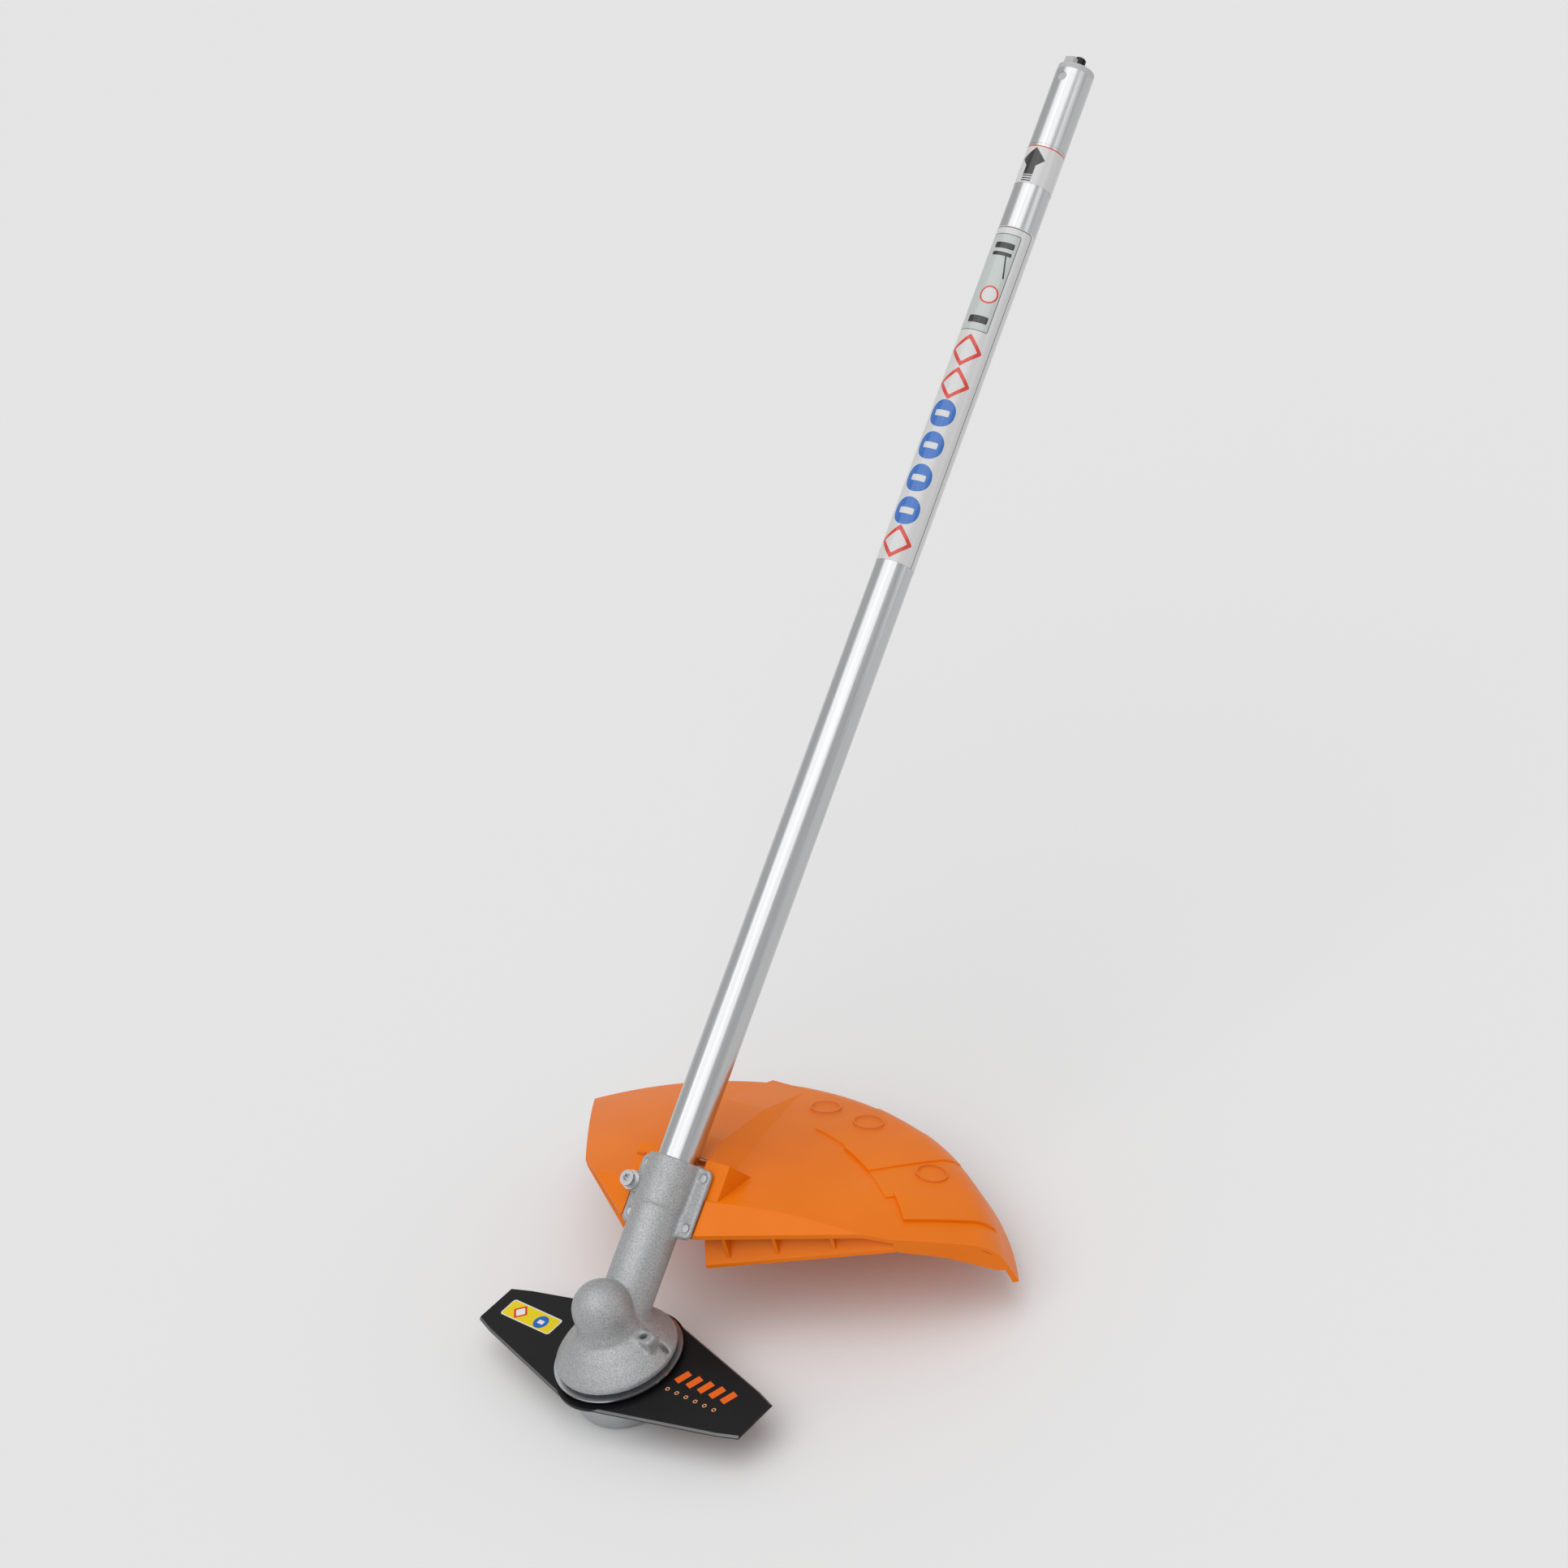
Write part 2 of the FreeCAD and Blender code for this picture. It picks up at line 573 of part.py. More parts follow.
def make_pinion():
    back = size("pinion_back")
    radius = size("pinion_shaft_radius")
    front = size("pinion_bearing_front")
    toe = (CONE_LENGTH - size("gear_face")) * math.cos(PINION_CONE)
    end = size("pinion_shaft_end")
    bore = size("shaft_neck_radius + seat_gap")
    deep = end - size("shaft_neck_length") - 0.5
    hub = [(radius + 1.2, back), (radius + 1.2, front), (radius, front), (radius, end), (bore, end),
           (bore, deep), (0, deep), (0, toe + 0.6)]
    direct("bevel_pinion", bevel_wheel(PINION_TEETH, PINION_CONE, hub), frame_matrix("tube"))
    spacer = sleeve("pinion_spacer", "tube", "pinion_shaft_radius + seat_gap", "pinion_shaft_radius + 1.3",
                    "pinion_bearing_front + pinion_bearing_width", "pinion_bearing_rear")
    node(spacer, "pinion_spacer")


def make_bevel_gear():
    bore = size("arbor_radius + seat_gap")
    toe = (CONE_LENGTH - size("gear_face")) * math.cos(GEAR_CONE)
    top = size("upper_bearing_level - blade_drop - 0.1")
    boss = size("arbor_radius") + 3
    hub = [(boss, top - 0.8), (boss, top), (bore, top), (bore, toe - 0.4)]
    direct("bevel_gear", bevel_wheel(GEAR_TEETH, GEAR_CONE, hub), frame_matrix("gear"))


def circlip(label, frame, outer, level):
    """A spring ring in a groove, open at one side, with two eyes for the pliers."""
    body = sleeve(label, frame, outer + " - 2.6", outer, level, level + " + circlip_sheet")
    gap = polygon(new_sketch(body, label + "_gap", "XY_Plane", level + " + circlip_sheet"), [
        (outer + " - 4", "-1.5"), (outer + " + 1", "-1.5"), (outer + " + 1", "1.5"), (outer + " - 4", "1.5")])
    pocket(body, label + "_gap_cut", gap, "circlip_sheet")
    eye = ring_sketch(new_sketch(body, label + "_eye", "XY_Plane", level + " + circlip_sheet"),
                      outer + " - 1.6", "2.9", "0.7")
    first = pocket(body, label + "_eye_cut", eye, "circlip_sheet")
    mirror = body.newObject("PartDesign::Mirrored", label + "_eyes")
    mirror.Originals = [first]
    mirror.MirrorPlane = (plane_of(body, "XZ_Plane"), [""])
    body.Tip = mirror
    doc.recompute()
    node(body, label)


# ---------------------------------------------------------------- arbor, blade and what clamps it

def make_arbor():
    gear_seat = (CONE_LENGTH - size("gear_face")) * math.cos(GEAR_CONE) - 0.4
    gear_level = "blade_drop + %.4f" % gear_seat
    bearing_top = "lower_bearing_level + lower_bearing_width"
    body = turned("arbor", "arbor", [
        ("0", "arbor_end"), ("arbor_radius - 1", "arbor_end"), ("arbor_radius", "arbor_end + 1"),
        ("arbor_radius", bearing_top), ("arbor_collar_radius", bearing_top),
        ("arbor_collar_radius", gear_level), ("arbor_radius", gear_level),
        ("arbor_radius", "upper_bearing_level - 0.1"),
        ("arbor_top_radius", "upper_bearing_level - 0.1"),
        ("arbor_top_radius", "upper_bearing_level + upper_bearing_width - 0.4"),
        ("0", "upper_bearing_level + upper_bearing_width - 0.4")])
    node(body, "arbor_shaft")


def make_thrust_plate():
    body = turned("thrust", "arbor", [
        ("arbor_radius + seat_gap", "-blade_thickness + 0.2"),
        ("blade_bore_radius - 0.1", "-blade_thickness + 0.2"),
        ("blade_bore_radius - 0.1", "0"), ("thrust_radius - 1", "0"), ("thrust_radius", "1"),
        ("thrust_radius", "thrust_height"), ("thrust_radius - 2", "thrust_height"),
        ("thrust_radius - 2.6", "thrust_height - 0.8"), ("thrust_hub_radius + 3", "thrust_height - 0.8"),
        ("thrust_hub_radius", "thrust_height + 1.2"), ("thrust_hub_radius", "lower_bearing_level"),
        ("arbor_radius + seat_gap", "lower_bearing_level")])
    reach = "sqrt(pin_hole_x * pin_hole_x + pin_hole_y * pin_hole_y)"
    sketch = new_sketch(body, "lock_hole", "XY_Plane", "thrust_height")
    hole = ring_sketch(sketch, reach, "0", "pin_hole_radius + 0.2")
    first = pocket(body, "lock_hole_cut", hole, "thrust_height")
    around(body, first, "lock_holes", int(size("pin_circle_holes")))
    node(body, "thrust_plate")


def make_blade():
    """Two-tooth grass blade: a long hexagonal plate with a rounded middle and bevelled tips."""
    body = new_body("blade", "arbor", -94.7)
    sketch = new_sketch(body, "blade_outline", "XY_Plane")
    tip = "sqrt(blade_radius * blade_radius - blade_tip_half * blade_tip_half)"
    quarter = [(tip, "blade_tip_half"), ("blade_shoulder_at", "blade_shoulder_half"),
               ("blade_waist_at", "blade_waist_half")]
    ring = quarter
    ring = ring + [("-" + x, y) for x, y in reversed(quarter)]
    ring = ring + [("-" + x, "-" + y) for x, y in quarter]
    ring = ring + [(x, "-" + y) for x, y in reversed(quarter)]
    waist = "(blade_middle_half - blade_waist_half)"
    arc_radius = "((blade_waist_at * blade_waist_at + %s * %s) / (2 * %s))" % (waist, waist, waist)
    polygon(sketch, ring, {2: ("0", "blade_middle_half", arc_radius),
                           8: ("0", "-blade_middle_half", arc_radius)})
    ring_sketch(sketch, "0", "0", "blade_bore_radius")
    pad = body.newObject("PartDesign::Pad", "blade_pad")
    pad.Profile = sketch
    pad.setExpression("Length", bound("blade_thickness"))
    pad.Reversed = True
    doc.recompute()

    def sharp(edge):
        ends = [vertex.Point for vertex in edge.Vertexes]
        if len(ends) != 2 or abs(ends[0].z) > 1e-6 or abs(ends[1].z) > 1e-6:
            return False
        far = max(abs(ends[0].x), abs(ends[1].x))
        near = min(abs(ends[0].x), abs(ends[1].x))
        return far > size(tip) - 0.01 and near < size(tip) - 1

    bevel = body.newObject("PartDesign::Chamfer", "blade_bevels")
    bevel.Base = (pad, edge_names(pad.Shape, sharp))
    bevel.setExpression("Size", bound("blade_bevel"))
    doc.recompute()
    node(body, "grass_blade")


def make_blade_clamp():
    under = "-blade_thickness"
    washer = sleeve("thrust_washer", "arbor", "arbor_radius + seat_gap", "washer_radius",
                    under + " - washer_sheet", under)
    node(washer, "thrust_washer")

    top = under + " - washer_sheet"
    flat = "nut_collar_radius + 4"
    throat = "nut_collar_radius + 11"
    plate = turned("rider", "arbor", [
        ("arbor_radius + seat_gap", top), (flat, top), (throat, "rider_level + rider_sheet"),
        ("rider_floor_radius - rider_sheet", "rider_level + rider_sheet"),
        ("rider_rim_radius - rider_sheet", under + " - 2.4"), ("rider_rim_radius", under + " - 2.4"),
        ("rider_floor_radius", "rider_level"), (throat + " - rider_sheet", "rider_level"),
        (flat + " - rider_sheet", top + " - rider_sheet"),
        ("arbor_radius + seat_gap", top + " - rider_sheet")])
    rounded(plate, "rider_round", "4", circle_at("rider_floor_radius", "rider_level"))
    node(plate, "rider_plate")

    seat_level = top + " - rider_sheet"
    nut = sleeve("blade_nut", "arbor", "arbor_radius + seat_gap", "nut_collar_radius",
                 seat_level + " - 1.5", seat_level)
    sketch = new_sketch(nut, "nut_outline", "XY_Plane", seat_level + " - 1")
    corner = "nut_flats / sqrt(3) * "
    corners = [(corner + "cos(%d)" % turn, corner + "sin(%d)" % turn) for turn in range(0, 360, 60)]
    polygon(sketch, corners)
    ring_sketch(sketch, "0", "0", "arbor_radius + seat_gap")
    pad = nut.newObject("PartDesign::Pad", "nut_hex")
    pad.Profile = sketch
    pad.setExpression("Length", bound("nut_height - 1"))
    pad.Reversed = True
    doc.recompute()
    node(nut, "blade_nut")


# ---------------------------------------------------------------- gearbox casting

def make_head_blank():
    """Skirt and dome of the casting, turned about the arbor."""
    rim = "flange_level + flange_rim"
    return turned("head", "arbor", [
        ("0", "flange_level"), ("flange_radius", "flange_level"), ("flange_radius", rim),
        ("flange_radius - 5", rim + " + 6"), ("dome_radius + 8", "skirt_top - 2.5"),
        ("dome_radius + 1.5", "skirt_top + 2"), ("dome_radius", "skirt_top + 8"),
        ("dome_radius", "dome_level"), ("0", "dome_level + dome_radius")],
        {7: ("dome_radius * cos(45)", "dome_level + dome_radius * sin(45)", "dome_radius")})


def make_wing():
    """Flat flange that the guard is screwed to."""
    body = new_body("wing", "tube")
    outline = polygon(new_sketch(body, "wing_outline", "YZ_Plane", "wing_top"), [
        ("-wing_half", "wing_start"), ("wing_half", "wing_start"), ("wing_half", "socket_mouth"),
        ("-wing_half", "socket_mouth")])
    pad = body.newObject("PartDesign::Pad", "wing_pad")
    pad.Profile = outline
    pad.setExpression("Length", bound("wing_thickness"))
    doc.recompute()

    def upright(edge):
        ends = [vertex.Point for vertex in edge.Vertexes]
        return abs(ends[0].x - ends[-1].x) > 1

    rounded(body, "wing_corners", "wing_corner", upright)
    holes = new_sketch(body, "wing_holes", "YZ_Plane", "wing_top + wing_thickness")
    for side in ("-guard_screw_side", "guard_screw_side"):
        for station in ("guard_screw_low", "guard_screw_high"):
            ring_sketch(holes, side, station, "guard_screw_radius")
    pocket(body, "wing_hole_cut", holes, "wing_thickness")
    return body


def make_cavity():
    """Everything bored out round the arbor: seal seat, circlip groove, bearings and gear room."""
    clip = "lower_bearing_level - circlip_sheet"
    gear_top = "upper_bearing_level - 0.5"
    return turned("cavity", "arbor", [
        ("0", "flange_level - 1"), ("lower_bearing_outer", "flange_level - 1"), ("lower_bearing_outer", clip),
        ("lower_bearing_outer + circlip_depth", clip),
        ("lower_bearing_outer + circlip_depth", "lower_bearing_level"),
        ("lower_bearing_outer", "lower_bearing_level"), ("lower_bearing_outer", gear_top),
        ("upper_bearing_outer", gear_top),
        ("upper_bearing_outer", "upper_bearing_level + upper_bearing_width"),
        ("0", "upper_bearing_level + upper_bearing_width")])


def make_housing():
    head = make_head_blank()
    neck = cylinder("neck", "socket_radius", "band_start - neck_start", "tube", ("0", "0", "neck_start"))
    band = cylinder("band", "band_radius", "socket_mouth - band_start", "tube", ("0", "0", "band_start"))
    wing = make_wing()
    clamp_boss = cylinder("clamp_boss", "clamp_boss_radius", "clamp_seat + wing_top + 1", "tube",
                          ("-clamp_seat", "clamp_side", "clamp_station"), "X")
    web_size = ("clamp_seat + wing_top + 1", "clamp_side - tube_radius", "2 * clamp_boss_radius")
    clamp_web = block("clamp_web", web_size, "tube",
                      ("-clamp_seat", "tube_radius", "clamp_station - clamp_boss_radius"))
    boss_face = "pin_hole_y - pin_boss_edge"
    boss_size = ("2 * pin_boss_half", "pin_boss_edge + pin_boss_half", "pin_boss_level - flange_level")
    pin_boss = block("pin_boss", boss_size, "arbor",
                     ("pin_hole_x - pin_boss_half", boss_face, "flange_level"))
    blank = fused("housing_blank", head, neck, band, wing, clamp_boss, clamp_web, pin_boss)
    bores = [
        make_cavity(),
        cylinder("pinion_bore", "pinion_bearing_outer", "tube_seat - 8", "tube", ("0", "0", "8")),
        cylinder("clip_groove", "pinion_bearing_outer + circlip_depth", "circlip_sheet + 0.1",
                 "tube", ("0", "0", "pinion_bearing_rear + pinion_bearing_width")),
        cylinder("tube_bore", "tube_radius + seat_gap", "socket_mouth - tube_seat + 1", "tube",
                 ("0", "0", "tube_seat")),
        cylinder("clamp_hole", "clamp_screw_radius", "2 * clamp_boss_radius + wing_thickness", "tube",
                 ("-clamp_seat - 1", "clamp_side", "clamp_station"), "X"),
        block("slit", ("clamp_slit", "clamp_side + clamp_boss_radius", "socket_mouth - band_start + 1"),
              "tube", ("wing_top - clamp_slit", "tube_radius - 1", "band_start + 1")),
        cylinder("pin_hole", "pin_hole_radius", "pin_boss_level + 10", "arbor",
                 ("pin_hole_x", "pin_hole_y", "0")),
        block("pin_slot", ("pin_slot_width", "pin_slot_length", "pin_boss_level"), "arbor",
              ("pin_hole_x + pin_hole_radius + 1.2", boss_face + " - pin_slot_length / 2",
               "flange_level + 1.5")),
    ]
    node(cut("housing", blank, *bores), "gearbox_housing")


def make_gearbox_trim():
    ring = turned("wrap_ring", "arbor", [
        ("lower_bearing_outer - 2", "flange_level - ring_sheet"),
        ("flange_radius - 6", "flange_level - ring_sheet"),
        ("flange_radius - 4", "ring_level"), ("ring_radius", "ring_level"),
        ("ring_radius", "ring_level + ring_sheet"), ("flange_radius - 3.5", "ring_level + ring_sheet"),
        ("flange_radius - 5.5", "flange_level"), ("lower_bearing_outer - 2", "flange_level")])
    hole = ring_sketch(new_sketch(ring, "ring_hole", "XY_Plane", "flange_level"), "pin_hole_x", "pin_hole_y",
                       "pin_hole_radius + 0.2")
    pocket(ring, "ring_hole_cut", hole, "flange_level")
    node(ring, "wrap_guard_ring")

    seal = sleeve("output_seal", "arbor", "thrust_hub_radius + run_gap", "lower_bearing_outer - seat_gap",
                  "flange_level", "lower_bearing_level - circlip_sheet")
    node(seal, "output_seal")
    circlip("lower_circlip", "arbor", "lower_bearing_outer + circlip_depth - seat_gap",
            "lower_bearing_level - circlip_sheet")
    circlip("pinion_circlip", "tube", "pinion_bearing_outer + circlip_depth - seat_gap",
            "pinion_bearing_rear + pinion_bearing_width + 0.05")


def make_clamp():
    washer = cut("clamp_washer",
                 cylinder("clamp_washer_disc", "clamp_washer_radius", "clamp_washer_sheet", "tube",
                          ("-clamp_seat - clamp_washer_sheet", "clamp_side", "clamp_station"), "X"),
                 cylinder("clamp_washer_hole", "clamp_screw_radius", "clamp_washer_sheet", "tube",
                          ("-clamp_seat - clamp_washer_sheet", "clamp_side", "clamp_station"), "X"))
    node(washer, "clamp_washer")
    top = "-clamp_seat - clamp_washer_sheet - clamp_head_height"
    head = cylinder("clamp_head", "clamp_head_radius", "clamp_head_height", "tube",
                    (top, "clamp_side", "clamp_station"), "X")
    length = "clamp_head_height + clamp_washer_sheet + clamp_seat + wing_top + wing_thickness"
    shank = cylinder("clamp_shank", "clamp_screw_radius - seat_gap", length, "tube",
                     (top, "clamp_side", "clamp_station"), "X")
    lobes = []
    for index in range(6):
        angle = math.radians(60 * index)
        side = "clamp_side + clamp_drive_radius * %.5f" % (0.8 * math.cos(angle))
        station = "clamp_station + clamp_drive_radius * %.5f" % (0.8 * math.sin(angle))
        lobes.append(cylinder("clamp_lobe_%d" % index, "clamp_drive_radius * 0.36", "3", "tube",
                              (top + " - 0.5", side, station), "X"))
    lobes.append(cylinder("clamp_drive", "clamp_drive_radius * 0.72", "3", "tube",
                          (top + " - 0.5", "clamp_side", "clamp_station"), "X"))
    node(cut("clamp_screw", fused("clamp_screw_blank", head, shank), *lobes), "clamp_screw")


# ---------------------------------------------------------------- guard

def guard_point(radius, azimuth, height=0):
    angle = math.radians(azimuth)
    return V(radius * math.cos(angle), radius * math.sin(angle), height)


def guard_crown(inset):
    """Turned volume under the guard's top skin and inside its skirt, made smaller by inset."""
    rim = size("guard_radius")
    hem = size("guard_hem") - (6 if inset else 0)
    shoulder = V(rim - 18 - inset * 0.6, 0, 29 - inset)
    start = V(0, 0, 78 - inset)
    crest = V(rim - 108 - inset * 0.3, 0, 59 - inset)
    brow = V(rim - 5 - inset, 0, 14 - inset * 0.2)
    bend = V(rim - 9.5 - inset * 0.8, 0, 22.5 - inset * 0.6)
    foot = V(rim - inset, 0, hem)
    centre = V(0, 0, hem)
    edges = [Part.Arc(start, crest, shoulder).toShape(), Part.Arc(shoulder, bend, brow).toShape(),
             Part.makeLine(brow, foot), Part.makeLine(foot, centre), Part.makeLine(centre, start)]
    return Part.Face(Part.Wire(edges)).revolve(V(0, 0, 0), V(0, 0, 1), 360)


def guard_plan():
    """Upright prism over the guard's plan: a straight front edge, two slanting ones, two radial ends."""
    right = size("guard_right_end")
    left = size("guard_left_end")
    front = size("guard_front")
    half = size("guard_lip")
    rim = size("guard_radius")
    corners = [V(front, -half, 0), guard_point(size("guard_right_foot"), right),
               guard_point(rim * 1.3, right), guard_point(rim * 1.6, (left + right) / 2),
               guard_point(rim * 1.3, left), guard_point(size("guard_left_foot"), left),
               V(front, half, 0)]
    corners = [V(p.x, p.y, -60) for p in corners]
    return Part.Face(Part.makePolygon(corners + corners[:1])).extrude(V(0, 0, 240))


def guard_roof(inset):
    """Volume under the planes that fall away to both sides of the tube."""
    slope = math.tan(math.radians(size("tube_tilt")))
    fall_right = 0.373
    fall_left = 0.1
    half = size("guard_lip")
    front = size("guard_front")
    high = slope * front + size("blade_drop") - 4.4 - inset * 1.25
    wide = size("guard_radius")
    corners = [V(front - 1, -wide, high - fall_right * (wide - half)), V(front - 1, -half, high),
               V(front - 1, half, high), V(front - 1, wide, high - fall_left * (wide - half)),
               V(front - 1, wide, -2 * wide), V(front - 1, -wide, -2 * wide)]
    return Part.Face(Part.makePolygon(corners + corners[:1])).extrude(V(wide + 60, 0, (wide + 60) * slope))


def guard_ridge(inset):
    """Raised back that carries the mount's height out to the rim."""
    rim = size("guard_radius")
    steps = ((94, -18, 20, 35, 80), (130, -4.3, 36, 38, 71.5), (182, 8.5, 50, 42, 52),
             (rim - 17, 15.7, 60, 46, 28))
    sections = []
    for x, right, flank, left, top in steps:
        low = top - 26
        corners = [V(x, right - flank + inset, low), V(x, right + inset, top - inset),
                   V(x, left - inset, top - inset), V(x, left + 6 - inset, low)]
        sections.append(Part.makePolygon(corners + corners[:1]))
    return Part.makeLoft(sections, True, True)


def guard_volume(inset):
    return guard_crown(inset).fuse(guard_ridge(inset)).common(guard_roof(inset))


def tilted_block(x_low, x_high, half, low, high):
    """A box in the tube frame, moved into the arbor frame."""
    shape = Part.makeBox(x_high - x_low, 2 * half, high - low, V(x_low, -half, low))
    shape.rotate(V(0, 0, 0), V(0, 1, 0), 90 - size("tube_tilt"))
    shape.translate(V(0, 0, size("blade_drop")))
    return shape


def tilted_rod(radius, low, high, x=0, y=0, across=False):
    axis = V(1, 0, 0) if across else V(0, 0, 1)
    shape = Part.makeCylinder(radius, high - low, V(low if across else x, y, x if across else low), axis)
    shape.rotate(V(0, 0, 0), V(0, 1, 0), 90 - size("tube_tilt"))
    shape.translate(V(0, 0, size("blade_drop")))
    return shape


def front_stiffener(side):
    """Sloping web behind a front edge, closing the guard's lip into a channel, with cross ribs."""
    wall = size("guard_wall")
    near = V(size("guard_front"), side * size("guard_lip"), 0)
    if side < 0:
        far = guard_point(size("guard_right_foot"), size("guard_right_end"))
        levels = ((34, 26), (40, 20))
    else:
        far = guard_point(size("guard_left_foot"), size("guard_left_end"))
        levels = ((41, 20), (60, 5))
    run = (far - near).normalize()
    inward = V(run.y * side, -run.x * side, 0)
    if inward.x < 0:
        inward = inward * -1
    sections = []
    for place, (low, depth) in zip((near, far), levels):
        start = V(place.x, place.y, low)
        back = start + inward * depth + V(0, 0, depth * 1.15)
        corners = [start, back, back - V(0, 0, wall * 1.4), start - V(0, 0, wall)]
        sections.append(Part.makePolygon(corners + corners[:1]))
    web = Part.makeLoft(sections, True, True)
    ribs = []
    for share in (0.12, 0.38, 0.68):
        low = levels[0][0] + (levels[1][0] - levels[0][0]) * share
        foot = near + (far - near) * share + V(0, 0, low)
        corners = [foot + inward * 2, foot + inward * 26 + V(0, 0, 26), foot + inward * 26 + V(0, 0, 60),
                   foot + inward * 2 + V(0, 0, 60)]
        ribs.append(Part.Face(Part.makePolygon(corners + corners[:1])).extrude(run * 2))
    return web.fuse(ribs)


def make_guard():
    wall = size("guard_wall")
    plan = guard_plan()
    outer = guard_volume(0).common(plan)
    skin = outer.cut(guard_volume(wall))
    right_end = guard_end(size("guard_right_end"), 1)
    left_end = guard_end(size("guard_left_end"), -1)
    webs = [front_stiffener(-1).common(outer), front_stiffener(1).common(outer)]
    pad_top = size("wing_top + wing_thickness")
    half = size("guard_mount_half")
    low = size("wing_start") - 7
    high = size("socket_mouth") + 6
    mount = tilted_block(pad_top, pad_top + 60, half, low, high)
    hollow = tilted_block(pad_top + size("guard_pad"), pad_top + 80, half - 3, low - 1, high - 3)
    mount = mount.cut(hollow).cut(guard_crown(wall)).common(plan)
    shape = skin.fuse([right_end, left_end, mount] + webs)
    pocket_room = tilted_block(-60, pad_top, size("wing_half") + 1.2, low - 30, high - 4)
    neck_room = tilted_rod(size("band_radius") + 1, low - 40, high + 1)
    tube_room = tilted_rod(size("tube_radius") + 1.5, high - 20, high + 120)
    shape = shape.cut(pocket_room).cut(neck_room).cut(tube_room)
    pad_under = pad_top + size("guard_pad")
    for side in (-1, 1):
        for station in ("guard_screw_low", "guard_screw_high"):
            place = (size(station), side * size("guard_screw_side"), True)
            shank = tilted_rod(size("guard_screw_radius + 0.1"), pad_top - 1, pad_under + 1, *place)
            head = tilted_rod(size("guard_screw_head") + 0.6, pad_under, pad_under + 25, *place)
            shape = shape.cut(shank).cut(head)
    shape = shape.cut(tilted_rod(size("clamp_screw_radius") + 1.2, pad_top - 1, pad_top + 30,
                                 size("clamp_station"), size("clamp_side"), True))
    solids = sorted(shape.Solids, key=lambda solid: solid.Volume)
    direct("guard", solids[-1], frame_matrix("arbor"))


def guard_end(azimuth, side):
    """Low wall that closes the skin at one radial end."""
    rim = size("guard_radius")
    top = [(rim - 38, 25), (rim - 11, 8), (rim - 3, 6), (rim - 6, 16), (rim - 19, 27)]
    if side > 0:
        start = size("guard_right_foot")
        outline = [(start, 48), (start, 38)] + top
    else:
        start = size("guard_left_foot")
        outline = [(start, 63), (start, 58)] + top + [(rim - 60, 49)]
    turn = math.radians(azimuth)
    across = V(-math.sin(turn), math.cos(turn), 0) * side * size("guard_wall")
    corners = [guard_point(r, azimuth, z) for r, z in outline]
    wall = Part.Face(Part.makePolygon(corners + corners[:1])).extrude(across)
    return wall.common(guard_crown(0))


def make_guard_screws():
    pad_top = size("wing_top + wing_thickness")
    seat_at = pad_top + size("guard_pad")
    screws = []
    for side in (-1, 1):
        for station in ("guard_screw_low", "guard_screw_high"):
            y = side * size("guard_screw_side")
            along = size(station)
            shank = Part.makeCylinder(size("guard_screw_radius - seat_gap"), seat_at - size("wing_top") - 0.6,
                                      V(size("wing_top") + 0.6, y, along), V(1, 0, 0))
            head = Part.makeCylinder(size("guard_screw_head"), size("guard_screw_head_height"),
                                     V(seat_at, y, along), V(1, 0, 0))
            sunk = seat_at + size("guard_screw_head_height") - 1.9
            recess = Part.makeCylinder(1.7, 2, V(sunk, y, along), V(1, 0, 0))
            screws.append(shank.fuse(head).removeSplitter().cut(recess))
    direct("guard_screws", Part.makeCompound(screws), frame_matrix("tube"))


# ---------------------------------------------------------------- build, check and write

make_tube()
make_end_bush()
make_drive_shaft()
make_shaft_bushes()
make_label("main_label", "main_label_start", "main_label_end")
make_label("arrow_label", "arrow_label_start",
           "tube_reach - insertion_depth - mark_width / 2 - label_margin")
make_bearing("lower_bearing", "arbor", "arbor_radius", "lower_bearing_outer", "lower_bearing_width",
             "lower_bearing_level", 8)
make_bearing("upper_bearing", "arbor", "arbor_top_radius", "upper_bearing_outer", "upper_bearing_width",
             "upper_bearing_level", 7)
make_bearing("pinion_front_bearing", "tube", "pinion_shaft_radius", "pinion_bearing_outer",
             "pinion_bearing_width", "pinion_bearing_front", 9)
make_bearing("pinion_rear_bearing", "tube", "pinion_shaft_radius", "pinion_bearing_outer",
             "pinion_bearing_width", "pinion_bearing_rear", 9)
make_pinion()
make_bevel_gear()
make_arbor()
make_thrust_plate()
make_blade()
make_blade_clamp()
make_housing()
make_gearbox_trim()
make_clamp()
make_guard()
make_guard_screws()
doc.recompute()

for item in doc.Objects:
    if "Invalid" in item.State or "Error" in item.State:
        raise RuntimeError("%s failed: %s" % (item.Label, item.State))
for item in NODES:
    shape = item.Shape
    if shape.isNull() or not shape.isValid() or not shape.Solids:
        raise RuntimeError("%s has no sound shape" % item.Label)
for item in NODES:
    item.Shape.exportStep("parts/%s.step" % item.Label)
    print("%-28s %2d solids %10.1f mm3" % (item.Label, len(item.Shape.Solids), item.Shape.Volume))
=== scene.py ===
# %% [markdown]
# # The working head of a brush cutter
# A tilted aluminium tube carries a drive shaft down to a small cast gearbox, which turns a two-tooth
# blade. An orange moulded guard stands between the blade and the person. The engineering model holds
# every size and every joint, so this script only loads it as a fixed frame and gives it its looks.

# %% Load the frame
import json
import math
import bpy
from mathutils import Matrix, Vector


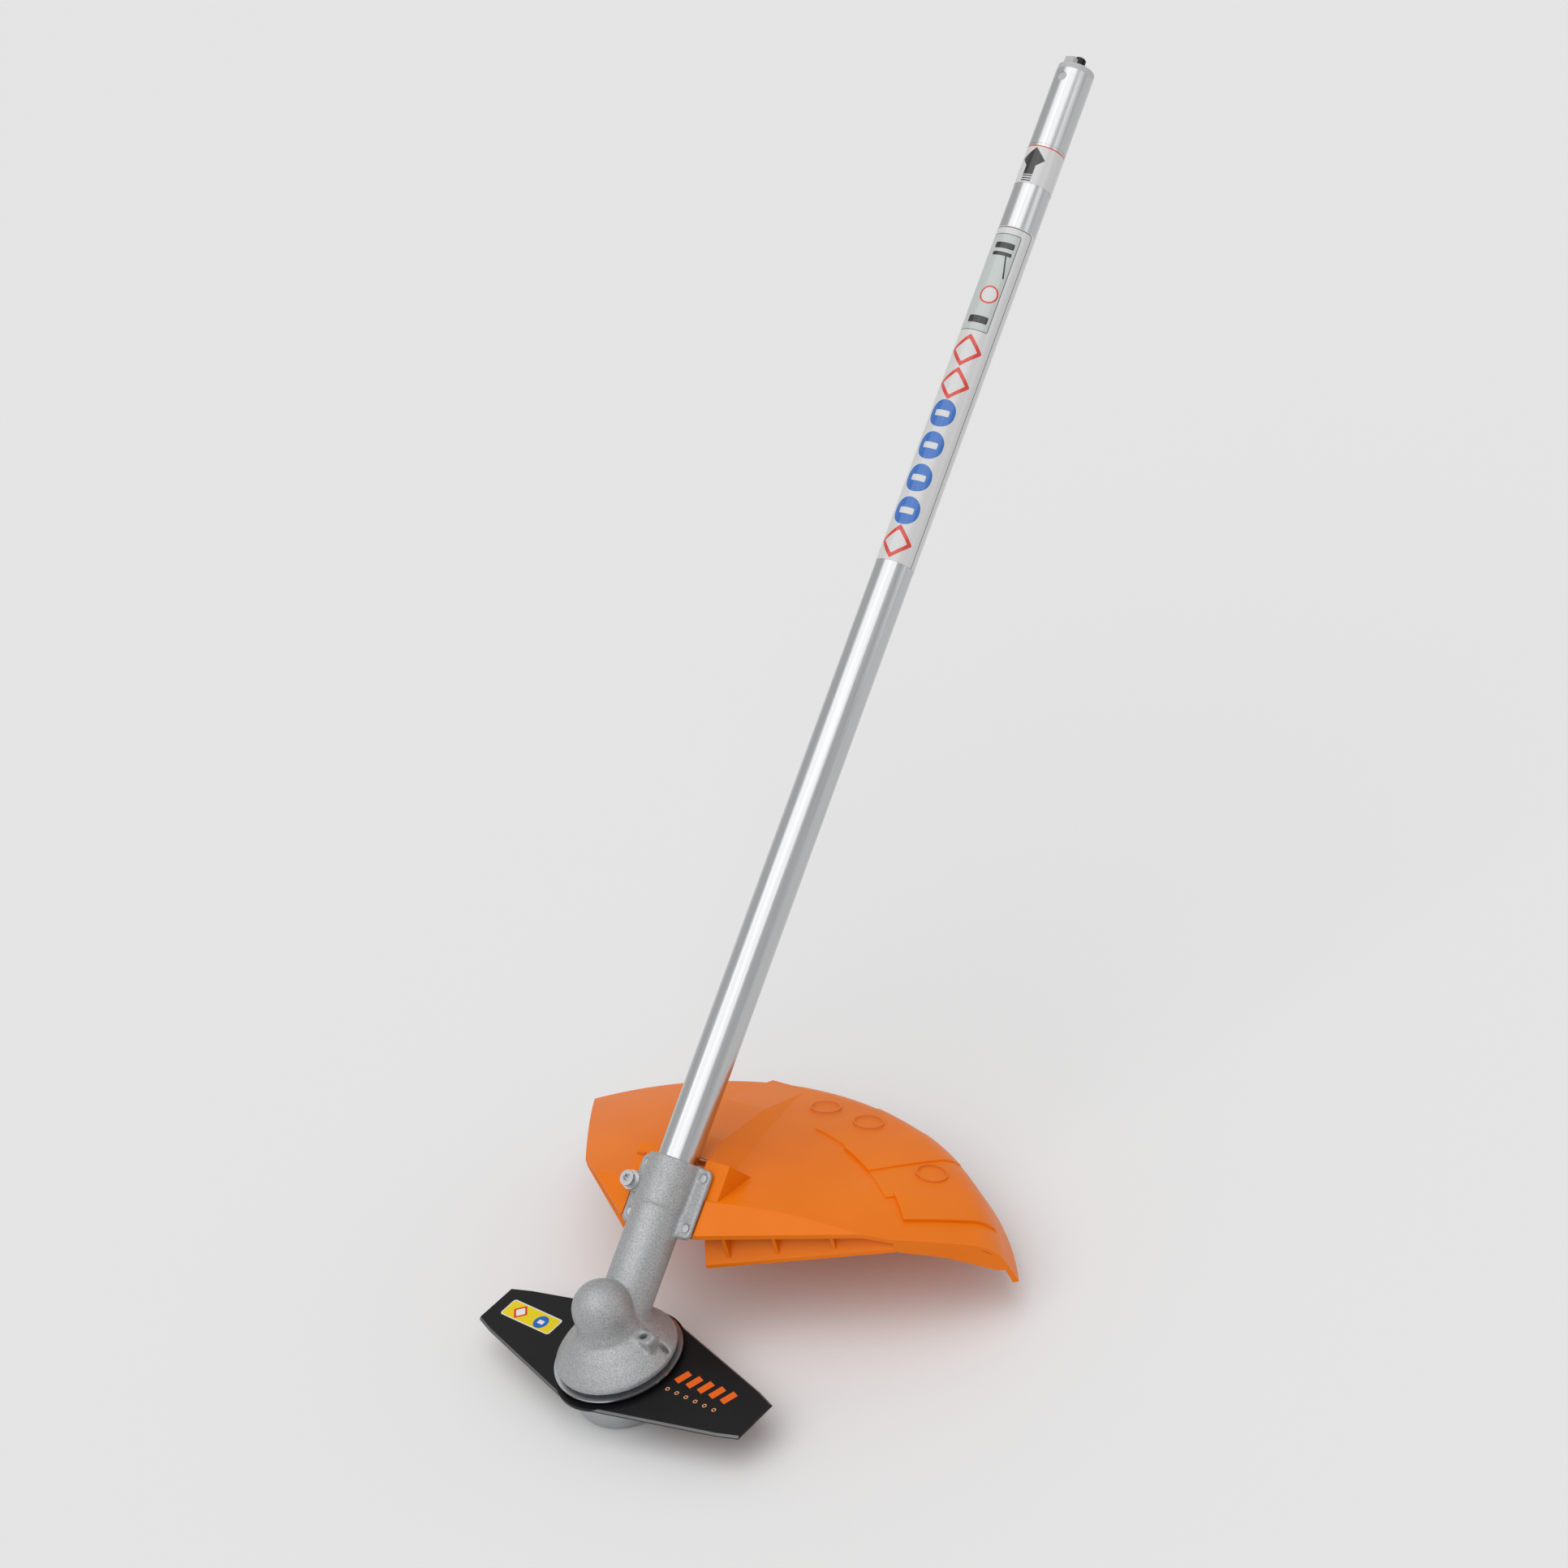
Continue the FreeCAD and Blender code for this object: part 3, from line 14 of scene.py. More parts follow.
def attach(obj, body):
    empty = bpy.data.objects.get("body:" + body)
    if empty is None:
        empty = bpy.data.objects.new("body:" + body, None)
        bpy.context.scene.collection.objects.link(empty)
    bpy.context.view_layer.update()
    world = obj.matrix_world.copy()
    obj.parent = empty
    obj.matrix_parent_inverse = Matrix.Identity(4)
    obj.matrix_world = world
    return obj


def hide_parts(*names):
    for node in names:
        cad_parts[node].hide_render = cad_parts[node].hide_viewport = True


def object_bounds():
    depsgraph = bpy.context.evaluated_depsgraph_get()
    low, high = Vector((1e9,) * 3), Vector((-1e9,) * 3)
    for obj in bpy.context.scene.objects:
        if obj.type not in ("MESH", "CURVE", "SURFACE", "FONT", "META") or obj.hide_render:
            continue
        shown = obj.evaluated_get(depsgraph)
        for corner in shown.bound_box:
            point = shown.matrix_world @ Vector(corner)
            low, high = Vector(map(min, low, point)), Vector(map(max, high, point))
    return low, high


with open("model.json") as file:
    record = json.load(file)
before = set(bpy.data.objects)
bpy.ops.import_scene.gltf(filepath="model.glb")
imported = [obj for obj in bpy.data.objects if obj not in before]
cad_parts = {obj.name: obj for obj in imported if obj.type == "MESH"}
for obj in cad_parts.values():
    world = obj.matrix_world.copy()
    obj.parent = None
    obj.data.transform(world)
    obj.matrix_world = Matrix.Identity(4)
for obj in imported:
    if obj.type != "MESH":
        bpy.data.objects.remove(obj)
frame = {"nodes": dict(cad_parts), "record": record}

cad_low, cad_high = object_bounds()
joints = {joint["name"]: joint for joint in frame["record"]["behaviour"]["joints"]}

# %% [markdown]
# Two places are used again and again. The blade turns about the arbor, so its centre is the origin of
# the "arbor" place. The tube has its own place, whose Z runs up the tube and whose X points to its
# underside. Both come from the joints of the loaded model, so they follow it if it changes.

# %% Places on the object
MM = 0.001
ARBOR = Vector(joints["arbor_spin"]["pos_m"])
CROSSING = Vector(joints["drive_spin"]["pos_m"])
UP_TUBE = Vector(joints["drive_spin"]["axis"]).normalized()
SIDE = Vector((0, 1, 0))
UNDER_TUBE = SIDE.cross(UP_TUBE).normalized()
TUBE_PLACE = Matrix.Translation(CROSSING) @ Matrix((UNDER_TUBE, SIDE, UP_TUBE)).transposed().to_4x4()
BLADE_TURN = math.radians(-94.7)
BLADE_PLACE = Matrix.Translation(ARBOR) @ Matrix.Rotation(BLADE_TURN, 4, "Z")
print("blade centre", [round(v, 4) for v in ARBOR], "tube direction", [round(v, 3) for v in UP_TUBE])

# %% [markdown]
# A long tool is easiest to read from well above and to one side, through a long lens, so that the
# tube doesn't taper much. The camera stands about 2 m from the blade. Its three angles are fixed
# numbers, because it leans: the tube isn't upright in the frame.

# %% Camera
camera_data = bpy.data.cameras.new("camera")
camera_data.sensor_width = 36
camera_data.lens = 74.68
camera = bpy.data.objects.new("camera", camera_data)
bpy.context.scene.collection.objects.link(camera)
camera.location = (-1.65587, -1.24107, 0.76370)
camera.rotation_euler = [math.radians(angle) for angle in (58.0709, 14.0768, -52.9784)]
bpy.context.scene.camera = camera
print("camera to blade: %.2f m" % (camera.location - ARBOR).length)

# %% [markdown]
# The floor is a plain pale sheet under the lowest point. A pale sky and one very wide, soft sun light
# it evenly, with hardly any shadow. Bright metal also needs something to mirror, so tall panels stand
# beside the tube. They are hidden from matt surfaces, and only draw the long streaks on the metal.

# %% Floor and light
def plain_surface(name, colour, roughness):
    """A quiet material for things that aren't part of the object."""
    surface = bpy.data.materials.new(name)
    surface.use_nodes = True
    shader = surface.node_tree.nodes["Principled BSDF"]
    shader.inputs["Base Color"].default_value = (*colour, 1)
    shader.inputs["Roughness"].default_value = roughness
    shader.inputs["Specular IOR Level"].default_value = 0.1
    return surface


def soft_panel(name, place, target, width, height, power):
    """A rectangular light that faces a point and shows only in glossy surfaces."""
    light = bpy.data.lights.new(name, "AREA")
    light.shape = "RECTANGLE"
    light.size = width
    light.size_y = height
    light.energy = power
    lamp = bpy.data.objects.new(name, light)
    lamp.location = place
    lamp.rotation_euler = (Vector(target) - Vector(place)).to_track_quat("-Z", "Y").to_euler()
    lamp.visible_diffuse = False
    bpy.context.scene.collection.objects.link(lamp)


bpy.ops.object.select_all(action="DESELECT")
bpy.ops.mesh.primitive_plane_add(size=30, location=(0, 0, cad_low[2] - 0.0005))
floor = bpy.context.object
floor.name = "floor"
floor.data.materials.append(plain_surface("floor_paper", (0.80, 0.80, 0.80), 0.9))

sky = bpy.data.worlds.new("studio")
sky.use_nodes = True
sky.node_tree.nodes["Background"].inputs["Color"].default_value = (1, 1, 1, 1)
sky.node_tree.nodes["Background"].inputs["Strength"].default_value = 0.60
bpy.context.scene.world = sky

sun_data = bpy.data.lights.new("sun", "SUN")
sun_data.energy = 1.25
sun_data.angle = math.radians(75)
sun = bpy.data.objects.new("sun", sun_data)
sun.rotation_euler = Vector((0.35, 0.10, -1)).to_track_quat("-Z", "Y").to_euler()
bpy.context.scene.collection.objects.link(sun)

middle = (-0.45, 0, -0.3)
soft_panel("left_side", (-2.2, 1.6, 1.0), middle, 0.25, 2.4, 1.6)
soft_panel("right_side", (0.5, -2.3, 0.9), middle, 0.35, 2.4, 3.0)
soft_panel("overhead", (-1.2, -0.3, 2.2), middle, 0.3, 2.0, 0.9)
bpy.context.scene.view_settings.view_transform = "Standard"
print("floor at %.4f m" % floor.location.z)

# %% [markdown]
# Materials are built from nodes by code. Writing each node in three lines would hide the recipe, so
# one helper adds a node, sets its options and fills its inputs. An input takes either a number or the
# output of another node.

# %% Helper for nodes
def add(tree, kind, inputs=None, **options):
    """Add a node to a tree, set its options and fill its inputs."""
    made = tree.nodes.new(kind)
    for name, value in options.items():
        setattr(made, name, value)
    for socket, value in (inputs or {}).items():
        if isinstance(value, bpy.types.NodeSocket):
            tree.links.new(value, made.inputs[socket])
        else:
            made.inputs[socket].default_value = value
    return made


def sum_of(tree, operation, first, second=0.0, clamp=False):
    """One Math node, and its output."""
    return add(tree, "ShaderNodeMath", {0: first, 1: second}, operation=operation, use_clamp=clamp).outputs[0]


def new_group(name, inputs, outputs):
    """A shader node group with named sockets: (name, kind, default)."""
    tree = bpy.data.node_groups.new(name, "ShaderNodeTree")
    for label, kind, default in inputs:
        socket = tree.interface.new_socket(label, in_out="INPUT", socket_type=kind)
        if default is not None:
            socket.default_value = default
    for label, kind in outputs:
        tree.interface.new_socket(label, in_out="OUTPUT", socket_type=kind)
    return tree, tree.nodes.new("NodeGroupInput").outputs, tree.nodes.new("NodeGroupOutput").inputs


NUMBER = "NodeSocketFloat"
VECTOR = "NodeSocketVector"
print("node helpers ready")

# %% [markdown]
# Every real surface has some grain: a blasted casting has specks a third of a millimetre wide,
# moulded plastic has a faint leather-like texture, and even lacquer isn't mirror flat. All of them are
# the same recipe at different sizes, so it is one group. It gives a fine value for bumps and a broad
# value that drifts over centimetres, for slow changes of colour and gloss.

# %% Group: grain
grain, source, result = new_group(
    "grain",
    [("Vector", VECTOR, None), ("Fine Scale", NUMBER, 1500.0), ("Broad Scale", NUMBER, 30.0)],
    [("Fine", NUMBER), ("Broad", NUMBER)])
fine = add(grain, "ShaderNodeTexNoise", {"Vector": source["Vector"], "Scale": source["Fine Scale"],
                                         "Detail": 3.0, "Roughness": 0.6})
broad = add(grain, "ShaderNodeTexNoise", {"Vector": source["Vector"], "Scale": source["Broad Scale"],
                                          "Detail": 4.0, "Roughness": 0.55})
grain.links.new(fine.outputs["Fac"], result["Fine"])
grain.links.new(broad.outputs["Fac"], result["Broad"])
print("grain group:", len(grain.nodes), "nodes")

# %% [markdown]
# A drawn tube and a turned ring carry fine lines along the way they were made. Noise that is
# squeezed in one direction gives such lines. The group takes coordinates whose Z runs along the lines.

# %% Group: drawn lines
lines, source, result = new_group(
    "drawn_lines",
    [("Vector", VECTOR, None), ("Across", NUMBER, 2500.0), ("Along", NUMBER, 12.0)],
    [("Lines", NUMBER)])
parts = add(lines, "ShaderNodeSeparateXYZ", {"Vector": source["Vector"]}).outputs
squeezed = add(lines, "ShaderNodeCombineXYZ", {
    "X": sum_of(lines, "MULTIPLY", parts["X"], source["Across"]),
    "Y": sum_of(lines, "MULTIPLY", parts["Y"], source["Across"]),
    "Z": sum_of(lines, "MULTIPLY", parts["Z"], source["Along"])})
streaks = add(lines, "ShaderNodeTexNoise", {"Vector": squeezed.outputs["Vector"], "Scale": 1.0,
                                            "Detail": 2.0})
lines.links.new(streaks.outputs["Fac"], result["Lines"])
print("drawn lines group:", len(lines.nodes), "nodes")

# %% [markdown]
# Dust and handling leave pale patches with soft, broken edges. This group gives a mask for them: a
# broad noise decides where, a finer one breaks it up, and Amount says how much of the surface is hit.

# %% Group: dust
dust, source, result = new_group(
    "dust",
    [("Vector", VECTOR, None), ("Scale", NUMBER, 14.0), ("Amount", NUMBER, 0.3)],
    [("Mask", NUMBER)])
patches = add(dust, "ShaderNodeTexNoise", {"Vector": source["Vector"], "Scale": source["Scale"],
                                           "Detail": 6.0, "Roughness": 0.62})
clean_below = sum_of(dust, "SUBTRACT", 0.72, sum_of(dust, "MULTIPLY", source["Amount"], 0.4))
over = sum_of(dust, "SUBTRACT", patches.outputs["Fac"], clean_below)
dust.links.new(sum_of(dust, "MULTIPLY", over, 4.0, clamp=True), result["Mask"])
print("dust group:", len(dust.nodes), "nodes")

# %% [markdown]
# Printing on film or lacquer is flat, so it is drawn by the material instead of being modelled. All
# coordinates are in millimetres. This group answers one question for a point: how far inside a
# rounded box is it, and is it in the box's border? A disc is a box with no straight sides, and a
# turned box is a diamond, so one group draws every mark on the object.

# %% Group: printed mark
mark, source, result = new_group(
    "printed_mark",
    [("X", NUMBER, 0.0), ("Y", NUMBER, 0.0), ("Centre X", NUMBER, 0.0), ("Centre Y", NUMBER, 0.0),
     ("Half X", NUMBER, 5.0), ("Half Y", NUMBER, 5.0), ("Corner", NUMBER, 1.0), ("Turn", NUMBER, 0.0),
     ("Border", NUMBER, 1.0)],
    [("Inside", NUMBER), ("Rim", NUMBER)])
from_centre = add(mark, "ShaderNodeCombineXYZ", {
    "X": sum_of(mark, "SUBTRACT", source["X"], source["Centre X"]),
    "Y": sum_of(mark, "SUBTRACT", source["Y"], source["Centre Y"])})
turned = add(mark, "ShaderNodeVectorRotate",
             {"Vector": from_centre.outputs["Vector"], "Angle": source["Turn"]}, rotation_type="Z_AXIS")
parts = add(mark, "ShaderNodeSeparateXYZ", {"Vector": turned.outputs["Vector"]}).outputs
beyond = []
for letter, half in (("X", "Half X"), ("Y", "Half Y")):
    straight = sum_of(mark, "SUBTRACT", source[half], source["Corner"])
    outside = sum_of(mark, "SUBTRACT", sum_of(mark, "ABSOLUTE", parts[letter]), straight)
    beyond.append(sum_of(mark, "MAXIMUM", outside, 0.0))
squares = sum_of(mark, "ADD", sum_of(mark, "MULTIPLY", beyond[0], beyond[0]),
                 sum_of(mark, "MULTIPLY", beyond[1], beyond[1]))
depth = sum_of(mark, "SUBTRACT", source["Corner"], sum_of(mark, "SQRT", squares))
sharp = 8.0
inside = sum_of(mark, "MULTIPLY", depth, sharp, clamp=True)
core = sum_of(mark, "MULTIPLY", sum_of(mark, "SUBTRACT", depth, source["Border"]), sharp, clamp=True)
mark.links.new(inside, result["Inside"])
mark.links.new(sum_of(mark, "SUBTRACT", inside, core), result["Rim"])
print("printed mark group:", len(mark.nodes), "nodes")

# %% [markdown]
# A finish starts from the object's own coordinates, turned into a place if the pattern has a
# direction. The starter below makes a material and hands back its tree, its shader and those
# coordinates, so that each finish further down is only its own recipe.

# %% Helpers for finishes
def start_finish(name, place=None):
    """A material with object coordinates, seen from a place if one is given."""
    finish = bpy.data.materials.new(name)
    finish.use_nodes = True
    tree = finish.node_tree
    where = add(tree, "ShaderNodeTexCoord").outputs["Object"]
    if place is not None:
        mapping = add(tree, "ShaderNodeMapping", {"Vector": where, "Location": place.to_translation(),
                                                  "Rotation": place.to_euler()}, vector_type="TEXTURE")
        where = mapping.outputs["Vector"]
    return finish, tree, tree.nodes["Principled BSDF"], where


def use(tree, group, **values):
    """Place a group; underscores in the names stand for spaces."""
    made = tree.nodes.new("ShaderNodeGroup")
    made.node_tree = group
    for name, value in values.items():
        socket = made.inputs[name.replace("_", " ")]
        if isinstance(value, bpy.types.NodeSocket):
            tree.links.new(value, socket)
        else:
            socket.default_value = value
    return made.outputs


def blend_colours(tree, factor, first, second):
    """Mix two colours; each is a colour or an output."""
    mix = add(tree, "ShaderNodeMix", data_type="RGBA")
    for index, value in ((0, factor), (6, first), (7, second)):
        if isinstance(value, bpy.types.NodeSocket):
            tree.links.new(value, mix.inputs[index])
        elif index == 0:
            mix.inputs[0].default_value = value
        else:
            mix.inputs[index].default_value = (*value, 1)
    return mix.outputs[2]


def spread(tree, value, low, high):
    """Stretch the middle part of a noise between two numbers."""
    return add(tree, "ShaderNodeMapRange", {"Value": value, "From Min": 0.3, "From Max": 0.7,
                                            "To Min": low, "To Max": high}).outputs["Result"]


def raise_bumps(tree, shader, height, strength, distance):
    """Turn a value into small bumps on the surface."""
    bump = add(tree, "ShaderNodeBump", {"Height": height, "Strength": strength, "Distance": distance})
    tree.links.new(bump.outputs["Normal"], shader.inputs["Normal"])


def feed(tree, shader, **values):
    """Fill the shader's sockets; underscores stand for spaces."""
    for name, value in values.items():
        socket = shader.inputs[name.replace("_", " ")]
        if isinstance(value, bpy.types.NodeSocket):
            tree.links.new(value, socket)
        elif socket.type == "RGBA":
            socket.default_value = (*value, 1)
        else:
            socket.default_value = value


FINISHES = {}
print("finish helpers ready")

# %% [markdown]
# Bare metals differ in colour, in how rough they are and in the kind of mark they carry. A table of
# those numbers and one recipe make most of them. Grained metals were blasted or cast, and lined metals
# were drawn or turned.

# %% Finishes: plain metals
def metal(slot, colour, variation, roughness, fine_scale, bump, metallic=1.0):
    """A bare metal with grain, a slow drift of tone and a little dust."""
    finish, tree, shader, where = start_finish(slot)
    tone = use(tree, grain, Vector=where, Fine_Scale=fine_scale, Broad_Scale=35.0)
    settled = use(tree, dust, Vector=where, Scale=40.0, Amount=0.25)["Mask"]
    darker = tuple(part * (1 - variation) for part in colour)
    lighter = tuple(min(1, part * (1 + variation)) for part in colour)
    speckled = blend_colours(tree, spread(tree, tone["Fine"], 0.0, 1.0), darker, lighter)
    dusty = blend_colours(tree, sum_of(tree, "MULTIPLY", settled, 0.12), speckled, (0.55, 0.54, 0.52))
    uneven = spread(tree, tone["Broad"], roughness - 0.05, roughness + 0.07)
    feed(tree, shader, Base_Color=dusty, Metallic=metallic, Roughness=uneven)
    raise_bumps(tree, shader, tone["Fine"], bump, 0.0002)
    FINISHES[slot] = finish


metal("cast_aluminium", (0.40, 0.405, 0.41), 0.30, 0.50, 1150.0, 0.45, metallic=0.55)
metal("bright_steel", (0.62, 0.63, 0.65), 0.05, 0.24, 2600.0, 0.08)
metal("rider_steel", (0.50, 0.51, 0.52), 0.12, 0.40, 1800.0, 0.22)
metal("bearing_steel", (0.68, 0.69, 0.71), 0.03, 0.15, 3000.0, 0.03)
metal("gear_steel", (0.30, 0.29, 0.28), 0.15, 0.34, 2000.0, 0.12)
metal("black_steel", (0.014, 0.014, 0.016), 0.25, 0.38, 1700.0, 0.18, metallic=0.4)
print("metals:", sorted(FINISHES))

# %% [markdown]
# The tube is drawn aluminium with a clear anodised skin. It is bright, but its fine lengthwise lines
# spread the reflections across the tube, which makes the long soft streaks.

# %% Finish: tube
finish, tree, shader, where = start_finish("tube_aluminium", TUBE_PLACE)
drawn = use(tree, lines, Vector=where, Across=2200.0, Along=9.0)["Lines"]
tone = use(tree, grain, Vector=where, Fine_Scale=2400.0, Broad_Scale=18.0)
handled = use(tree, dust, Vector=where, Scale=22.0, Amount=0.35)["Mask"]
silver = blend_colours(tree, spread(tree, drawn, 0.0, 1.0), (0.50, 0.505, 0.512), (0.60, 0.605, 0.612))
silver = blend_colours(tree, sum_of(tree, "MULTIPLY", handled, 0.10), silver, (0.50, 0.50, 0.49))
feed(tree, shader, Base_Color=silver, Metallic=1.0, Roughness=spread(tree, tone["Broad"], 0.20, 0.27))
raise_bumps(tree, shader, drawn, 0.06, 0.0001)
FINISHES["tube_aluminium"] = finish
print("tube finish:", len(tree.nodes), "nodes")

# %% [markdown]
# The guard is one injection moulding in strong orange. Plastic isn't metallic: its colour comes from
# inside, and a weak gloss lies over it. A faint moulded texture breaks that gloss up, and the colour
# drifts a little where the plastic flowed.

# %% Finish: plastics and rubber
def plastic(slot, colour, deeper, roughness, fine_scale, bump, gloss):
    """A moulded plastic; gloss is how strongly its surface mirrors."""
    finish, tree, shader, where = start_finish(slot)
    tone = use(tree, grain, Vector=where, Fine_Scale=fine_scale, Broad_Scale=16.0)
    settled = use(tree, dust, Vector=where, Scale=18.0, Amount=0.25)["Mask"]
    flow = blend_colours(tree, spread(tree, tone["Broad"], 0.0, 1.0), deeper, colour)
    dusty = blend_colours(tree, sum_of(tree, "MULTIPLY", settled, 0.05), flow, (0.62, 0.56, 0.5))
    feed(tree, shader, Base_Color=dusty, Specular_IOR_Level=gloss,
         Roughness=spread(tree, tone["Fine"], roughness - 0.04, roughness + 0.06))
    raise_bumps(tree, shader, tone["Fine"], bump, 0.0001)
    FINISHES[slot] = finish


plastic("guard_plastic", (0.86, 0.195, 0.0015), (0.80, 0.172, 0.001), 0.40, 1400.0, 0.10, 0.22)
plastic("bush_plastic", (0.50, 0.505, 0.51), (0.44, 0.445, 0.45), 0.45, 1300.0, 0.12, 0.5)
plastic("seal_rubber", (0.03, 0.03, 0.03), (0.022, 0.022, 0.022), 0.65, 900.0, 0.25, 0.4)
print("finishes so far:", len(FINISHES))

# %% [markdown]
# A label is printed film under clear laminate, wrapped round the tube. Its material works in the
# tube's place: distance up the tube, and distance round it from the label's middle line. Each mark is
# one use of the printed mark group, laid over what is below it. The marks are plain shapes with no
# meaning: discs, diamonds, bars and key lines.

# %% Helpers for printing
LABEL_RADIUS = 12.9
LABEL_MIDDLE = math.radians(204)


def label_coordinates(tree, where):
    """Millimetres up the tube and round it."""
    parts = add(tree, "ShaderNodeSeparateXYZ", {"Vector": where}).outputs
    turn_back = add(tree, "ShaderNodeVectorRotate", {"Vector": where, "Angle": -LABEL_MIDDLE},
                    rotation_type="Z_AXIS")
    turned = add(tree, "ShaderNodeSeparateXYZ", {"Vector": turn_back.outputs["Vector"]}).outputs
    angle = sum_of(tree, "ARCTAN2", turned["Y"], turned["X"])
    return sum_of(tree, "MULTIPLY", parts["Z"], 1000.0), sum_of(tree, "MULTIPLY", angle, LABEL_RADIUS)


def stamp(tree, below, x, y, centre, half, colour, corner=0.6, turn=0.0, border=None):
    """Print one mark over a colour: a filled shape, or only its rim if a border is given."""
    made = use(tree, mark, X=x, Y=y, Centre_X=float(centre[0]), Centre_Y=float(centre[1]),
               Half_X=float(half[0]), Half_Y=float(half[1]), Corner=corner, Turn=math.radians(turn),
               Border=border or 0.5)
    return blend_colours(tree, made["Rim"] if border else made["Inside"], below, colour)


INK_BLACK = (0.01, 0.01, 0.011)
INK_RED = (0.66, 0.04, 0.02)
INK_BLUE = (0.02, 0.14, 0.50)
FILM = (0.64, 0.64, 0.64)
FILM_GREEN = (0.50, 0.545, 0.525)
print("printing helpers ready")

# %% [markdown]
# The long label has a black key line near its edge, a greenish box with dark bars in its upper
# part, then two red-edged diamonds, four blue discs and a third diamond going down the tube. The row
# stands a little to one side of the label's middle.

# %% Finish: long label
def long_label():
    finish, tree, shader, where = start_finish("long_label_print", TUBE_PLACE)
    along, across = label_coordinates(tree, where)
    film = use(tree, grain, Vector=where, Fine_Scale=700.0, Broad_Scale=25.0)
    ink = blend_colours(tree, film["Broad"], FILM, tuple(part * 0.96 for part in FILM))
    ink = stamp(tree, ink, along, across, (634.5, -2.0), (120.0, 17.0), INK_BLACK, corner=3.0, border=0.55)
    ink = stamp(tree, ink, along, across, (714.5, -3.5), (35.0, 11.0), FILM_GREEN, corner=1.6)
    ink = stamp(tree, ink, along, across, (714.5, -3.5), (35.0, 11.0), INK_BLACK, corner=1.6, border=0.45)
    for station, length in ((741, 2.2), (735, 1.4), (687.5, 2.6)):
        ink = stamp(tree, ink, along, across, (station, -2.0), (length, 7.0), INK_BLACK, corner=1.0)
    ink = stamp(tree, ink, along, across, (726, 3.2), (8.0, 0.6), INK_BLACK, corner=0.5, turn=12)
    ink = stamp(tree, ink, along, across, (705.5, -0.3), (6.4, 6.4), FILM, corner=6.4)
    ink = stamp(tree, ink, along, across, (705.5, -0.3), (6.4, 6.4), INK_RED, corner=6.4, border=1.2)
    for station in (665.0, 641.0, 529.0):
        ink = stamp(tree, ink, along, across, (station, -2.5), (8.4, 8.4), INK_RED, corner=1.0, turn=45)
        ink = stamp(tree, ink, along, across, (station, -2.5), (5.9, 5.9), FILM, corner=0.8, turn=45)
    for station in (619.7, 596.8, 573.7, 550.6):
        ink = stamp(tree, ink, along, across, (station, -2.6), (10.3, 9.6), FILM, corner=9.6)
        ink = stamp(tree, ink, along, across, (station, -2.6), (9.7, 9.0), INK_BLUE, corner=9.0)
        ink = stamp(tree, ink, along, across, (station, -2.6), (2.2, 5.0), FILM, corner=1.0)
    feed(tree, shader, Base_Color=ink, Roughness=spread(tree, film["Fine"], 0.20, 0.26), Coat_Weight=0.5)
    raise_bumps(tree, shader, film["Fine"], 0.04, 0.0001)
    return finish


LONG_LABEL = long_label()
print("long label:", len(LONG_LABEL.node_tree.nodes), "nodes")

# %% [markdown]
# The short label by the open end shows how far the tube goes into its clamp: a red line at its top
# edge, and a black arrow with three bars behind it that points to the line.

# %% Finish: short label
def short_label():
    red_line = 814.5
    finish, tree, shader, where = start_finish("short_label_print", TUBE_PLACE)
    along, across = label_coordinates(tree, where)
    film = use(tree, grain, Vector=where, Fine_Scale=700.0, Broad_Scale=25.0)
    ink = blend_colours(tree, film["Broad"], FILM, tuple(part * 0.96 for part in FILM))
    middle_line = -4.2
    ink = stamp(tree, ink, along, across, (799, middle_line), (6.0, 3.6), INK_BLACK, corner=0.2)
    for station in (788.6, 790.3, 792.0):
        ink = stamp(tree, ink, along, across, (station, middle_line), (0.5, 3.6), INK_BLACK, corner=0.2)
    ink = stamp(tree, ink, along, across, (804.5, middle_line), (6.0, 6.0), INK_BLACK, corner=0.4, turn=45)
    ink = stamp(tree, ink, along, across, (red_line, 0), (0.9, 40.0), INK_RED, corner=0.2)
    feed(tree, shader, Base_Color=ink, Roughness=spread(tree, film["Fine"], 0.20, 0.26), Coat_Weight=0.5)
    raise_bumps(tree, shader, film["Fine"], 0.04, 0.0001)
    return finish


SHORT_LABEL = short_label()
FINISHES["label_film"] = LONG_LABEL
print("short label:", len(SHORT_LABEL.node_tree.nodes), "nodes")

# %% [markdown]
# The blade is spring steel under black lacquer. Only the ground bevels of its two teeth are bare, and
# they are found by their slope. A yellow square with two plain marks is printed near one tooth, and a
# row of orange slanted bars near the other. The pattern is drawn in the blade's own place, so it
# turns with it.

